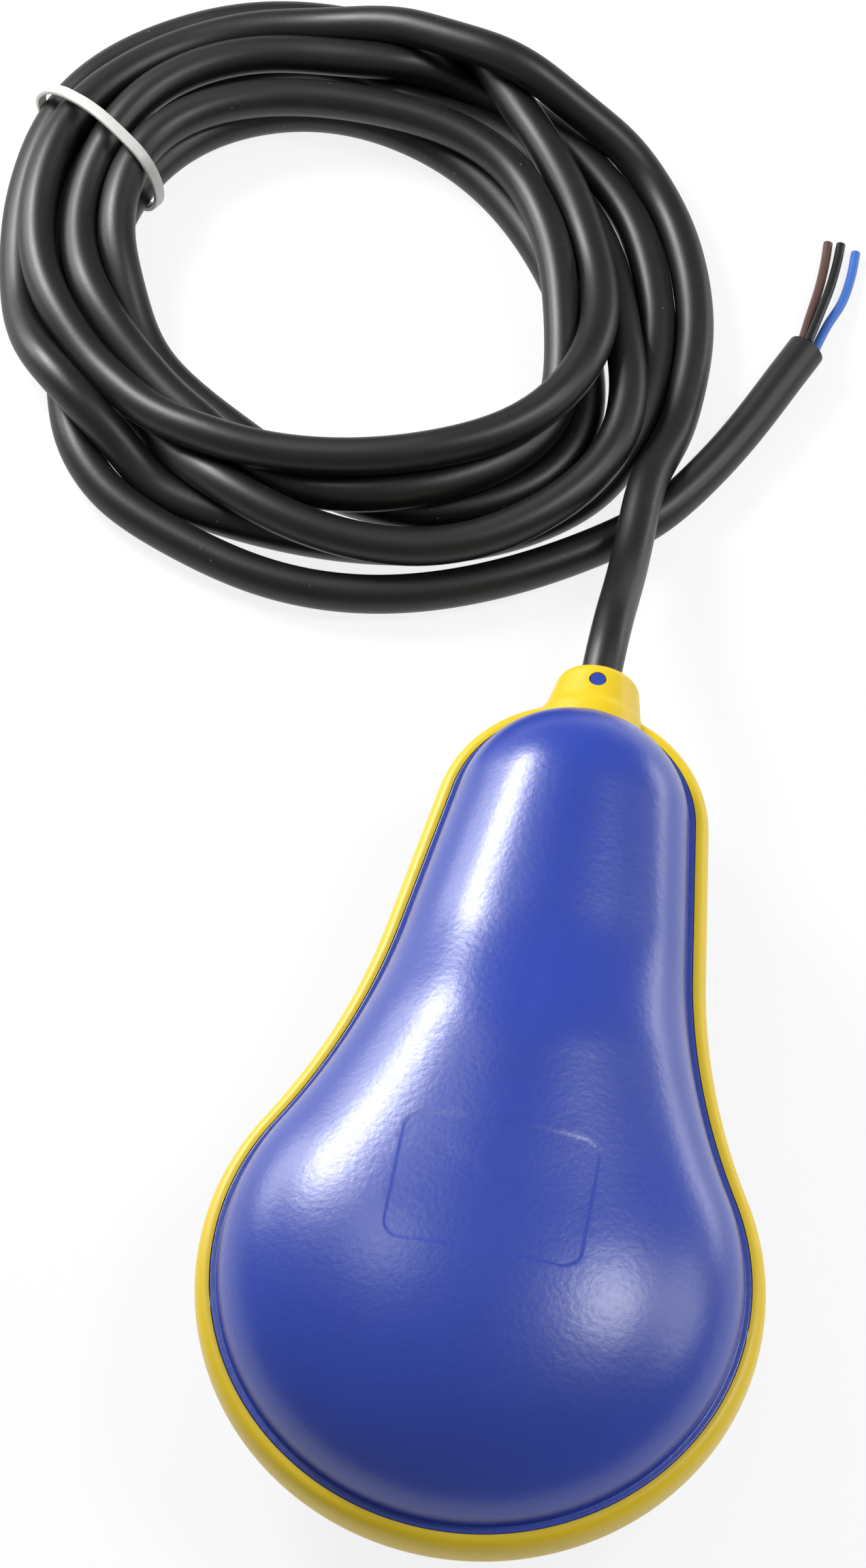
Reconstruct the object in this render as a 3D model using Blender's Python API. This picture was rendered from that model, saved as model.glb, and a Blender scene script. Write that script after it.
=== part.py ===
"""Cable float switch: a pear-shaped float with a sealed ball-operated switch and its cable.

Units are metres and +Z is up. The float lies on its rear face, which rests on Z = 0.
+Y runs along the float towards the cable nozzle, and X = 0 is its plane of symmetry.
The inner sizes named "from the belly" are counted along +Y from the centre of the round belly.
"""
import math

import bmesh
import bpy
from mathutils import Matrix, Vector

# Clearance between two pieces that touch, and the step left where two cuts meet
GAP = 0.0003
STEP = 0.00004
WELD_DISTANCE = 0.00002

# Outline of the two shells at their flange
BELLY_RADIUS = 0.050
NECK_RADIUS = 0.024
NECK_DISTANCE = 0.098
WAIST_RADIUS = 0.130
FLANK_ANGLE = math.radians(8.15)

# Facets of each stretch of half the outline
BELLY_FACETS = 16
WAIST_FACETS = 5
FLANK_FACETS = 2
NECK_FACETS = 8

# Steps of the shells' curve, in degrees from the flange to the crown
DOME_ANGLES = (90, 80, 66, 52, 39, 26, 13, 0)
INNER_DOME_ANGLES = (0, 18, 36, 55, 73, 90)

# Shells
FLANGE_HEIGHT = 0.0045
LEDGE = 0.0013
WALL = 0.0025
BELLY_RISE = 0.0230
NECK_RISE = 0.0190
RISE_CHANGE_START = 0.045
RISE_CHANGE_END = 0.085
REST_FLAT = 0.0005
TONGUE_INSET = 0.0016
TONGUE_WIDTH = 0.0010
TONGUE_HEIGHT = 0.0012

# Plain panel sunk into the front of the belly
PANEL_WIDTH = 0.0364
PANEL_LENGTH = 0.0260
PANEL_CENTRE = 0.0087
PANEL_CORNER = 0.0036
PANEL_DEPTH = 0.00035

# Band moulded round the seam, with the cable nozzle
BAND_WIDTH = 0.0028
NOZZLE_LENGTH = 0.0100
NOZZLE_RADIUS = 0.0100
NOZZLE_TAPER = math.radians(12.5)
NOZZLE_ROUND = 0.0026
NOZZLE_LIP = 0.0012

# Cable and what seals and holds it
CABLE_DIAMETER = 0.008
CABLE_INSIDE = 0.028
SLEEVE_WALL = 0.0019
SLEEVE_COLLAR = 0.0011
SLEEVE_COLLAR_RISE = 0.0010
PIN_RADIUS = 0.0015
PIN_FROM_TIP = 0.0043
SEAL_LENGTH = 0.0030
SEAL_WALL = 0.0032
CLAMP_LENGTH = 0.0050
CLAMP_WIDTH = 0.0180
CLAMP_HEIGHT = 0.0065
CLAMP_TO_SEAL = 0.0012
CLAMP_SCREW_RADIUS = 0.0012
CLAMP_SCREW_REACH = 0.0080

# Case of the inner switch
CASE_START = 0.028
CASE_HEIGHT = 0.0200
CASE_BELOW_SEAM = 0.0110
CASE_WALL = 0.0018
CASE_CORNER = 0.0025
CASE_FOOT = 0.0070
FOOT_INSET = 0.0020
FOOT_CORNER = 0.0030
LID_THICKNESS = 0.0018
LID_LIP = 0.0015
LID_LIP_WALL = 0.0012
CASE_SCREW_EDGE = 0.0050
CASE_SCREW_RADIUS = 0.0015
CASE_SCREW_REACH = 0.0076
POST_RADIUS = 0.0035
WIRE_SLOT_WIDTH = 0.0080
WIRE_SLOT_HEIGHT = 0.0040
WIRE_SLOT_FLOOR = 0.0032

# Ball and its channel
BALL_RADIUS = 0.006
BALL_TRAVEL = 0.014
CHANNEL_SIDE_CLEARANCE = 0.0005
CHANNEL_WALL = 0.0010
CHANNEL_FLOOR = 0.0012
CHANNEL_WALL_RISE = 0.0024
CHANNEL_FROM_WALL = 0.0027

# Small switch with its plunger, lever and terminals
SWITCH_LENGTH = 0.020
SWITCH_DEPTH = 0.0094
SWITCH_THICKNESS = 0.0064
SWITCH_FROM_CHANNEL_SIDE = 0.0045
SWITCH_FROM_CHANNEL_START = 0.0275
SWITCH_TO_END_WALL = 0.0082
SWITCH_PEG_RADIUS = 0.0009
SWITCH_PEG_INSET = 0.0025
PLUNGER_RADIUS = 0.0009
PLUNGER_LENGTH = 0.0065
LEVER_LENGTH = 0.030
LEVER_THICKNESS = 0.0006
LEVER_WIDTH = 0.0040
LEVER_BARREL = 0.0013
LEVER_REST_ANGLE = math.radians(8.6)
LEVER_STROKE = math.radians(2.6)
HINGE_FROM_FRONT = 0.0019
HINGE_PAST_SWITCH = 0.0015
HINGE_PIN_RADIUS = 0.0006
PLUNGER_ARM = 0.0130
LUG_THICKNESS = 0.0007
TERMINAL_LENGTH = 0.0024
TERMINAL_WIDTH = 0.0030
TERMINAL_THICKNESS = 0.0006
TERMINAL_SPACING = 0.0070
TERMINAL_TO_WALL = 0.0005
WIRE_RADIUS = 0.00075
WIRE_SPACING = 0.0024

# Places that follow from the sizes
BELLY_END = BELLY_RADIUS + BAND_WIDTH
FLOAT_LENGTH = BELLY_END + NECK_DISTANCE + NECK_RADIUS + NOZZLE_LENGTH
NOZZLE_TIP = NECK_DISTANCE + NECK_RADIUS + NOZZLE_LENGTH
BELLY_Y = BELLY_END - FLOAT_LENGTH / 2
SEAM_Z = FLANGE_HEIGHT + BELLY_RISE - REST_FLAT
CABLE_RADIUS = CABLE_DIAMETER / 2
CABLE_HOLE = CABLE_RADIUS + GAP
SLEEVE_RADIUS = CABLE_HOLE + SLEEVE_WALL
SLEEVE_HOLE = SLEEVE_RADIUS + GAP
SHELL_INSET = LEDGE + WALL
CASE_FLOOR_Z = -CASE_BELOW_SEAM + CASE_WALL
CASE_TOP_Z = CASE_HEIGHT - CASE_BELOW_SEAM
CHANNEL_INNER = 2 * (BALL_RADIUS + CHANNEL_SIDE_CLEARANCE)
CHANNEL_WIDTH = CHANNEL_INNER + 2 * CHANNEL_WALL
SWITCH_SPAN = SWITCH_DEPTH + GAP + TERMINAL_LENGTH + TERMINAL_TO_WALL
CASE_WIDTH = 2 * CASE_WALL + GAP + CHANNEL_WIDTH + SWITCH_FROM_CHANNEL_SIDE + SWITCH_SPAN
FOOT_WIDTH = CASE_WIDTH - 2 * FOOT_INSET
CHANNEL_START = CASE_START + CASE_WALL + CHANNEL_FROM_WALL
SWITCH_START = CHANNEL_START + SWITCH_FROM_CHANNEL_START
CASE_END = SWITCH_START + SWITCH_LENGTH + SWITCH_TO_END_WALL + CASE_WALL
SWITCH_FRONT = CASE_WIDTH / 2 - CASE_WALL - SWITCH_SPAN
HINGE_X = SWITCH_FRONT - HINGE_FROM_FRONT
HINGE_Y = SWITCH_START + SWITCH_LENGTH + HINGE_PAST_SWITCH
BALL_X = -CASE_WIDTH / 2 + CASE_WALL + GAP + CHANNEL_WALL + CHANNEL_INNER / 2
BALL_Y = CHANNEL_START + CHANNEL_WALL + GAP + BALL_RADIUS
BALL_Z = CASE_FLOOR_Z + GAP + CHANNEL_FLOOR + GAP + BALL_RADIUS

# Route of the cable where it is not coiled, as centre points
LEAD_ROUTE = [
    (0.0000, 0.0644, 0.0270), (0.0000, 0.0780, 0.0270), (0.0000, 0.0924, 0.0270),
    (0.0001, 0.1010, 0.0267), (0.0003, 0.1120, 0.0235), (0.0006, 0.1243, 0.0182),
    (0.0010, 0.1360, 0.0146), (0.0013, 0.1460, 0.0130), (0.0017, 0.1553, 0.0110),
    (0.0023, 0.1658, 0.0076), (0.0031, 0.1805, 0.0046),
]
TAIL_ROUTE = [
    (-0.1210, 0.1511, 0.0042), (-0.1150, 0.1420, 0.0042), (-0.1050, 0.1320, 0.0042),
    (-0.0923, 0.1236, 0.0042), (-0.0753, 0.1174, 0.0042), (-0.0589, 0.1163, 0.0042),
    (-0.0429, 0.1189, 0.0042), (-0.0229, 0.1271, 0.0042), (-0.0057, 0.1391, 0.0042),
    (0.0059, 0.1513, 0.0042), (0.0162, 0.1668, 0.0042), (0.0241, 0.1846, 0.0042),
    (0.0277, 0.1929, 0.0042),
]
WIRE_END_ROUTES = {
    "brown": [(0.02654, 0.1940, 0.0046), (0.0272, 0.2015, 0.0034), (0.0280, 0.2095, 0.0022),
              (0.0283, 0.2170, 0.0012), (0.0282, 0.2226, 0.0010)],
    "black": [(0.0279, 0.1935, 0.0062), (0.0293, 0.2028, 0.0044), (0.0303, 0.2103, 0.0026),
              (0.0308, 0.2175, 0.0013), (0.0309, 0.2228, 0.0010)],
    "blue": [(0.0293, 0.1929, 0.0036), (0.0311, 0.2006, 0.0028), (0.0333, 0.2077, 0.0018),
             (0.0342, 0.2149, 0.0012), (0.0343, 0.2213, 0.0010)],
}
TUBE_POINT_SPACING = 0.0140

# Coil: radii, in metres, at the eight points of the compass, anticlockwise from +X
COIL_CENTRE = (-0.0690, 0.1900)
COIL_INNER = (0.0420, 0.0350, 0.0365, 0.0450, 0.0450, 0.0375, 0.0460, 0.0505)
COIL_OUTER = (0.0766, 0.0698, 0.0692, 0.0795, 0.0745, 0.0676, 0.0668, 0.0765)
COIL_TOP = (0.0222, 0.0185, 0.0192, 0.0170, 0.0168, 0.0215, 0.0223, 0.0223)
COIL_STEPS = 56

# Tie round the coil
TIE_CENTRE = (-0.1271, 0.2102)
TIE_DIRECTION = math.radians(-30.0)
TIE_HALF_WIDTH = 0.0182
TIE_HEIGHT = 0.0196
TIE_WIDTH = 0.0022
TIE_THICKNESS = 0.0011
TIE_HEAD = 0.0032


def clear_scene():
    """Remove everything that a new Blender file holds."""
    for obj in list(bpy.data.objects):
        bpy.data.objects.remove(obj, do_unlink=True)


def make_material(name, color, roughness, metallic=0.0):
    """Principled material with one colour."""
    mat = bpy.data.materials.new(name)
    mat.use_nodes = True
    shader = mat.node_tree.nodes["Principled BSDF"]
    shader.inputs["Base Color"].default_value = (*color, 1.0)
    shader.inputs["Roughness"].default_value = roughness
    shader.inputs["Metallic"].default_value = metallic
    return mat


def inside(x, y, z):
    """World place of a point given from the belly's centre and the seam."""
    return Vector((x, BELLY_Y + y, SEAM_Z + z))


def add_object(name, bm, mat=None, location=(0.0, 0.0, 0.0)):
    """Turn a bmesh into an object, with all its faces turned outwards."""
    bmesh.ops.recalc_face_normals(bm, faces=bm.faces)
    mesh = bpy.data.meshes.new(name)
    bm.to_mesh(mesh)
    bm.free()
    obj = bpy.data.objects.new(name, mesh)
    obj.location = location
    bpy.context.scene.collection.objects.link(obj)
    if mat is not None:
        mesh.materials.append(mat)
    return obj


def make_cutter(name, bm):
    """Helper solid for a Boolean, which is not a piece of the part."""
    obj = add_object(name, bm)
    obj.hide_render = True
    obj.display_type = "WIRE"
    return obj


def combine(obj, other, operation):
    """Add an exact Boolean to an object."""
    mod = obj.modifiers.new(operation.lower() + "_" + other.name, "BOOLEAN")
    mod.object = other
    mod.operation = operation
    mod.solver = "EXACT"


def weld(obj):
    """Join the points that a Boolean leaves within a few hundredths of a millimetre."""
    mod = obj.modifiers.new("weld", "WELD")
    mod.merge_threshold = WELD_DISTANCE


def add_box(bm, low, high):
    """Closed box between two corners."""
    low = Vector(low)
    high = Vector(high)
    size = high - low
    matrix = Matrix.Translation((low + high) / 2) @ Matrix.Diagonal((*size, 1.0))
    bmesh.ops.create_cube(bm, size=1.0, matrix=matrix)


def add_round_box(bm, low, high, corner, segments=3):
    """Closed box whose four upright edges are rounded."""
    first = len(bm.verts)
    add_box(bm, low, high)
    bm.verts.ensure_lookup_table()
    edges = set()
    for vert in bm.verts[first:]:
        for edge in vert.link_edges:
            run = edge.verts[1].co - edge.verts[0].co
            if abs(run.x) < 1e-9 and abs(run.y) < 1e-9:
                edges.add(edge)
    geometry = list(edges)
    bmesh.ops.bevel(bm, geom=geometry, offset=corner, segments=segments, profile=0.5, affect="EDGES")


def add_cylinder(bm, start, end, radius, segments=24):
    """Closed cylinder between two points."""
    start = Vector(start)
    end = Vector(end)
    axis = end - start
    turn = Vector((0.0, 0.0, 1.0)).rotation_difference(axis).to_matrix().to_4x4()
    matrix = Matrix.Translation((start + end) / 2) @ turn
    bmesh.ops.create_cone(
        bm, cap_ends=True, segments=segments, radius1=radius, radius2=radius,
        depth=axis.length, matrix=matrix,
    )


def join_rings(bm, rings, closed=False):
    """Faces between rings of equal length, each ring being a closed loop of points."""
    loops = [[bm.verts.new(point) for point in ring] for ring in rings]
    count = len(rings[0])
    pairs = list(zip(loops, loops[1:]))
    if closed:
        pairs.append((loops[-1], loops[0]))
    for low, high in pairs:
        for i in range(count):
            j = (i + 1) % count
            bm.faces.new((low[i], low[j], high[j], high[i]))
    return loops


def circle_points(radius, y, segments):
    """Circle about the float's long axis, at a distance from the belly."""
    ring = []
    for i in range(segments):
        angle = 2 * math.pi * (i + 0.5) / segments
        ring.append(inside(radius * math.cos(angle), y, radius * math.sin(angle)))
    return ring


def revolve(bm, profile, segments=40):
    """Closed solid from (radius, y) points turned about the line X = 0, Z = 0 along +Y."""
    join_rings(bm, [circle_points(radius, y, segments) for radius, y in profile], closed=True)


def smooth_curve(points, spacing):
    """Points at an even spacing along a smooth curve through the given points."""
    knots = [Vector(p) for p in points]
    knots = [2 * knots[0] - knots[1]] + knots + [2 * knots[-1] - knots[-2]]
    fine = []
    for a, b, c, d in zip(knots, knots[1:], knots[2:], knots[3:]):
        for step in range(16):
            t = step / 16
            fine.append(
                0.5 * (2 * b + (c - a) * t + (2 * a - 5 * b + 4 * c - d) * t * t
                       + (3 * b - a - 3 * c + d) * t ** 3)
            )
    fine.append(knots[-2])
    lengths = [0.0]
    for a, b in zip(fine, fine[1:]):
        lengths.append(lengths[-1] + (b - a).length)
    count = max(2, round(lengths[-1] / spacing))
    result = []
    index = 0
    for k in range(count + 1):
        target = lengths[-1] * k / count
        while index < len(fine) - 2 and lengths[index + 1] < target:
            index += 1
        share = (target - lengths[index]) / (lengths[index + 1] - lengths[index])
        result.append(fine[index].lerp(fine[index + 1], share))
    return result


def add_tube(name, points, radius, mat, sides_level=2):
    """Round tube along the points, with closed ends."""
    curve = bpy.data.curves.new(name, "CURVE")
    curve.dimensions = "3D"
    curve.bevel_depth = radius
    curve.bevel_resolution = sides_level
    curve.use_fill_caps = True
    spline = curve.splines.new("POLY")
    spline.points.add(len(points) - 1)
    for place, point in zip(spline.points, points):
        place.co = (*point, 1.0)
    curve.materials.append(mat)
    obj = bpy.data.objects.new(name, curve)
    bpy.context.scene.collection.objects.link(obj)
    return obj


def pear_points(offset):
    """Outline moved outwards by offset, as (x, y, spine y), anticlockwise from the belly's end.

    The spine y is where the outline's normal meets the plane of symmetry.
    """
    normal = Vector((math.cos(FLANK_ANGLE), math.sin(FLANK_ANGLE)))
    along = Vector((-math.sin(FLANK_ANGLE), math.cos(FLANK_ANGLE)))
    reach = NECK_DISTANCE * math.sin(FLANK_ANGLE) + NECK_RADIUS + WAIST_RADIUS
    centre_distance = BELLY_RADIUS + WAIST_RADIUS
    centre = normal * reach + along * math.sqrt(centre_distance ** 2 - reach ** 2)
    meet_angle = math.atan2(centre.y, centre.x)
    half = []
    radius = BELLY_RADIUS + offset
    for i in range(BELLY_FACETS + 1):
        angle = -math.pi / 2 + (meet_angle + math.pi / 2) * i / BELLY_FACETS
        half.append((radius * math.cos(angle), radius * math.sin(angle), 0.0))
    radius = WAIST_RADIUS - offset
    for i in range(1, WAIST_FACETS + 1):
        angle = meet_angle + (FLANK_ANGLE - meet_angle) * i / WAIST_FACETS
        x = centre.x - radius * math.cos(angle)
        y = centre.y - radius * math.sin(angle)
        half.append((x, y, centre.y - centre.x * math.tan(angle)))
    flank_start = Vector(half[-1][:2])
    flank_end = Vector((0.0, NECK_DISTANCE)) + normal * (NECK_RADIUS + offset)
    for i in range(1, FLANK_FACETS + 1):
        point = flank_start.lerp(flank_end, i / FLANK_FACETS)
        half.append((point.x, point.y, point.y - point.x * math.tan(FLANK_ANGLE)))
    radius = NECK_RADIUS + offset
    for i in range(1, NECK_FACETS + 1):
        angle = FLANK_ANGLE + (math.pi / 2 - FLANK_ANGLE) * i / NECK_FACETS
        half.append((radius * math.cos(angle), NECK_DISTANCE + radius * math.sin(angle), NECK_DISTANCE))
    half[0] = (0.0, half[0][1], 0.0)
    half[-1] = (0.0, half[-1][1], NECK_DISTANCE)
    mirrored = [(-x, y, spine) for x, y, spine in reversed(half[1:-1])]
    return half + mirrored


def rise_at(spine_y):
    """Height of the shell's crown above the flange, which falls from the belly to the neck."""
    share = (spine_y - RISE_CHANGE_START) / (RISE_CHANGE_END - RISE_CHANGE_START)
    share = min(max(share, 0.0), 1.0)
    share = share * share * (3 - 2 * share)
    return BELLY_RISE + (NECK_RISE - BELLY_RISE) * share


def flat_ring(offset, z):
    """Outline moved outwards by offset, at one height from the seam."""
    return [inside(x, y, z) for x, y, _ in pear_points(offset)]


def dome_rings(offset, lift, side, angles, cap=None):
    """Rings of a dome that stands on the outline, raised by lift, and closes on the spine."""
    rings = []
    for degrees in angles:
        angle = math.radians(degrees)
        share = math.cos(angle)
        ring = []
        for x, y, spine in pear_points(offset):
            height = FLANGE_HEIGHT + max(lift, 0.0) + (rise_at(spine) + min(lift, 0.0)) * math.sin(angle)
            if cap is not None:
                height = min(height, cap)
            ring.append(inside(x * share, spine + (y - spine) * share, side * height))
        rings.append(ring)
    return rings


def merge_close(bm):
    """Join the points that meet on the spine."""
    bmesh.ops.remove_doubles(bm, verts=bm.verts, dist=1e-6)


def dome_solid(outward, side, cap=None):
    """Closed solid of one outer dome moved by outward, down past the flange to the seam."""
    bm = bmesh.new()
    rings = [flat_ring(-LEDGE + outward, 0.0)]
    rings += dome_rings(-LEDGE + outward, outward, side, INNER_DOME_ANGLES, cap)
    loops = join_rings(bm, rings)
    bm.faces.new(loops[0])
    merge_close(bm)
    return bm


def shell_mesh(side, joint_profile, cap=None):
    """Closed cup of one shell: outer dome, ledge, flange, joint face and inner dome."""
    bm = bmesh.new()
    rings = dome_rings(-LEDGE, 0.0, side, DOME_ANGLES, cap)
    rings.append(flat_ring(0.0, side * FLANGE_HEIGHT))
    for inset, z in joint_profile:
        rings.append(flat_ring(-inset, side * z))
    rings += dome_rings(-SHELL_INSET, -WALL, side, INNER_DOME_ANGLES)
    join_rings(bm, rings)
    merge_close(bm)
    return bm


def add_front_shell(mat, bore):
    """Front shell, with a groove round its joint face and the sunk panel."""
    groove_start = TONGUE_INSET - GAP
    groove_end = TONGUE_INSET + TONGUE_WIDTH + GAP
    groove_top = GAP / 2 + TONGUE_HEIGHT + GAP
    profile = [
        (0.0, GAP / 2), (groove_start, GAP / 2), (groove_start, groove_top),
        (groove_end, groove_top), (groove_end, GAP / 2), (SHELL_INSET, GAP / 2),
    ]
    shell = add_object("front_shell", shell_mesh(1, profile), mat)
    prism = bmesh.new()
    low = inside(-PANEL_WIDTH / 2, PANEL_CENTRE - PANEL_LENGTH / 2, FLANGE_HEIGHT)
    high = inside(PANEL_WIDTH / 2, PANEL_CENTRE + PANEL_LENGTH / 2, FLANGE_HEIGHT + 2 * BELLY_RISE)
    add_round_box(prism, low, high, PANEL_CORNER)
    panel = make_cutter("panel_cutter", prism)
    below = make_cutter("panel_floor", dome_solid(-PANEL_DEPTH, 1))
    combine(panel, below, "DIFFERENCE")
    combine(shell, panel, "DIFFERENCE")
    combine(shell, bore, "DIFFERENCE")
    return shell


def add_rear_shell(mat, bore):
    """Rear shell, with a tongue round its joint face, screw posts and the cable cradle."""
    tongue_end = TONGUE_INSET + TONGUE_WIDTH
    tongue_top = -(TONGUE_HEIGHT - GAP / 2)
    profile = [
        (0.0, GAP / 2), (TONGUE_INSET, GAP / 2), (TONGUE_INSET, tongue_top),
        (tongue_end, tongue_top), (tongue_end, GAP / 2), (SHELL_INSET, GAP / 2),
    ]
    cap = FLANGE_HEIGHT + BELLY_RISE - REST_FLAT
    shell = add_object("rear_shell", shell_mesh(-1, profile, cap), mat)
    bosses = bmesh.new()
    deep = -(FLANGE_HEIGHT + 2 * BELLY_RISE)
    for x, y in case_screw_places():
        add_cylinder(bosses, inside(x, y, deep), inside(x, y, -CASE_BELOW_SEAM - GAP), POST_RADIUS, 20)
    low = inside(-CLAMP_WIDTH / 2, clamp_start(), deep)
    high = inside(CLAMP_WIDTH / 2, clamp_start() + CLAMP_LENGTH, -GAP * 1.5)
    add_box(bosses, low, high)
    posts = make_cutter("boss_block", bosses)
    trim = make_cutter("boss_trim", dome_solid(-WALL / 3, -1))
    combine(posts, trim, "INTERSECT")
    combine(shell, posts, "UNION")
    holes = bmesh.new()
    for x, y in case_screw_places():
        bottom = CASE_FLOOR_Z - CASE_SCREW_REACH - GAP
        add_cylinder(holes, inside(x, y, bottom), inside(x, y, 0.0), CASE_SCREW_RADIUS + GAP, 16)
    for x in clamp_screw_places():
        y = clamp_start() + CLAMP_LENGTH / 2
        bottom = -CLAMP_SCREW_REACH - GAP
        add_cylinder(holes, inside(x, y, bottom), inside(x, y, CLAMP_HEIGHT), CLAMP_SCREW_RADIUS + GAP, 16)
    combine(shell, make_cutter("boss_holes", holes), "DIFFERENCE")
    combine(shell, bore, "DIFFERENCE")
    return shell


def cable_bore():
    """Hole through both shells for the sleeve, and the cradle's groove for the cable."""
    bm = bmesh.new()
    start = inside(0.0, sleeve_start() - GAP, 0.0)
    end = inside(0.0, NOZZLE_TIP, 0.0)
    add_cylinder(bm, start, end, SLEEVE_HOLE, 40)
    groove_start = inside(0.0, clamp_start() - CLAMP_LENGTH / 2, 0.0)
    groove_end = inside(0.0, clamp_start() + 1.2 * CLAMP_LENGTH, 0.0)
    add_cylinder(bm, groove_start, groove_end, CABLE_HOLE, 32)
    return make_cutter("cable_bore", bm)


def sleeve_start():
    """Inner end of the sleeve, where its collar stands inside the neck's end wall."""
    end_wall = NECK_DISTANCE + math.sqrt((NECK_RADIUS - SHELL_INSET) ** 2 - sleeve_collar_radius() ** 2)
    return end_wall - GAP - SLEEVE_COLLAR


def sleeve_collar_radius():
    """Radius of the collar that keeps the sleeve in the shells."""
    return SLEEVE_RADIUS + SLEEVE_COLLAR_RISE


def clamp_start():
    """Belly side of the cable clamp."""
    return sleeve_start() - GAP - SEAL_LENGTH - CLAMP_TO_SEAL - CLAMP_LENGTH


def clamp_screw_places():
    """X of the two clamp screws, midway between the cable and the clamp's ends."""
    middle = (CABLE_HOLE + CLAMP_WIDTH / 2) / 2
    return (-middle, middle)


def case_screw_places():
    """Places of the four screws through the case's feet."""
    low = CASE_START - CASE_FOOT / 2
    high = CASE_END + CASE_FOOT / 2
    half = FOOT_WIDTH / 2 - CASE_SCREW_EDGE
    return [(-half, low), (half, low), (-half, high), (half, high)]


def nozzle_radius(y):
    """Radius of the tapered nozzle at a distance from the belly."""
    return NOZZLE_RADIUS - (y - NECK_DISTANCE - NECK_RADIUS) * math.tan(NOZZLE_TAPER)


def add_seam_band(mat):
    """Band moulded round the seam, in one piece with the nozzle that grips the cable."""
    section = [
        (GAP, 1.0), (0.42 * BAND_WIDTH, 1.0), (0.74 * BAND_WIDTH, 0.84), (0.94 * BAND_WIDTH, 0.55),
        (BAND_WIDTH, 0.2), (BAND_WIDTH, -0.2), (0.94 * BAND_WIDTH, -0.55), (0.74 * BAND_WIDTH, -0.84),
        (0.42 * BAND_WIDTH, -1.0), (GAP, -1.0),
    ]
    bm = bmesh.new()
    join_rings(bm, [flat_ring(offset, share * FLANGE_HEIGHT) for offset, share in section], closed=True)
    band = add_object("seam_band", bm, mat)
    passage = bmesh.new()
    start = inside(0, NECK_DISTANCE, 0)
    add_cylinder(passage, start, inside(0, NOZZLE_TIP, 0), SLEEVE_HOLE + STEP, 40)
    combine(band, make_cutter("band_passage", passage), "DIFFERENCE")
    nozzle = make_cutter("nozzle_block", nozzle_mesh())
    combine(nozzle, make_cutter("shell_clearance", clearance_mesh(GAP + STEP)), "DIFFERENCE")
    pins = bmesh.new()
    y = NOZZLE_TIP - PIN_FROM_TIP
    reach = 1.5 * NOZZLE_RADIUS
    add_cylinder(pins, inside(0, y, -reach), inside(0, y, reach), PIN_RADIUS + GAP, 24)
    combine(nozzle, make_cutter("nozzle_pin_holes", pins), "DIFFERENCE")
    combine(band, nozzle, "UNION")
    weld(band)
    return band


def nozzle_mesh():
    """Tapered nozzle with a rounded end and a stepped bore, before it is cut to the shells."""
    start = NECK_DISTANCE + 0.75 * NECK_RADIUS
    shoulder = NOZZLE_TIP - NOZZLE_ROUND
    edge = nozzle_radius(shoulder)
    profile = [(SLEEVE_HOLE, start), (nozzle_radius(start), start), (edge, shoulder)]
    for degrees in (25, 50, 72, 90):
        angle = math.radians(degrees)
        radius = edge - NOZZLE_ROUND * (1 - math.cos(angle))
        profile.append((radius, shoulder + NOZZLE_ROUND * math.sin(angle)))
    bore_end = NOZZLE_TIP - NOZZLE_LIP
    profile += [(CABLE_HOLE, NOZZLE_TIP), (CABLE_HOLE, bore_end), (SLEEVE_HOLE, bore_end)]
    bm = bmesh.new()
    revolve(bm, profile)
    return bm


def clearance_mesh(clearance):
    """Solid of both closed shells, larger all round by a clearance."""
    bm = bmesh.new()
    rings = dome_rings(clearance - LEDGE, clearance, 1, DOME_ANGLES)
    rings.append(flat_ring(clearance, FLANGE_HEIGHT + clearance))
    rings.append(flat_ring(clearance, -FLANGE_HEIGHT - clearance))
    rings += dome_rings(clearance - LEDGE, clearance, -1, tuple(reversed(DOME_ANGLES)))
    join_rings(bm, rings)
    merge_close(bm)
    return bm


def add_cable_sleeve(mat):
    """Inner tube of the nozzle, with a collar inside and two pins that show through the band."""
    start = sleeve_start()
    end = NOZZLE_TIP - NOZZLE_LIP - GAP
    bm = bmesh.new()
    collar = sleeve_collar_radius()
    revolve(bm, [
        (CABLE_HOLE, start), (collar, start), (collar, start + SLEEVE_COLLAR),
        (SLEEVE_RADIUS, start + SLEEVE_COLLAR), (SLEEVE_RADIUS, end), (CABLE_HOLE, end),
    ])
    sleeve = add_object("cable_sleeve", bm, mat)
    y = NOZZLE_TIP - PIN_FROM_TIP
    foot = CABLE_HOLE + SLEEVE_WALL / 2
    top = nozzle_radius(y) - GAP
    pins = bmesh.new()
    add_cylinder(pins, inside(0, y, foot), inside(0, y, top), PIN_RADIUS, 20)
    add_cylinder(pins, inside(0, y, -foot), inside(0, y, -top), PIN_RADIUS, 20)
    combine(sleeve, make_cutter("sleeve_pins", pins), "UNION")
    return sleeve


def add_cable_seal(mat):
    """Rubber ring that seals the cable at the sleeve's inner end."""
    end = sleeve_start() - GAP
    start = end - SEAL_LENGTH
    outer = CABLE_HOLE + SEAL_WALL
    bm = bmesh.new()
    revolve(bm, [(CABLE_HOLE, start), (outer, start), (outer, end), (CABLE_HOLE, end)], 32)
    return add_object("cable_seal", bm, mat)


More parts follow.
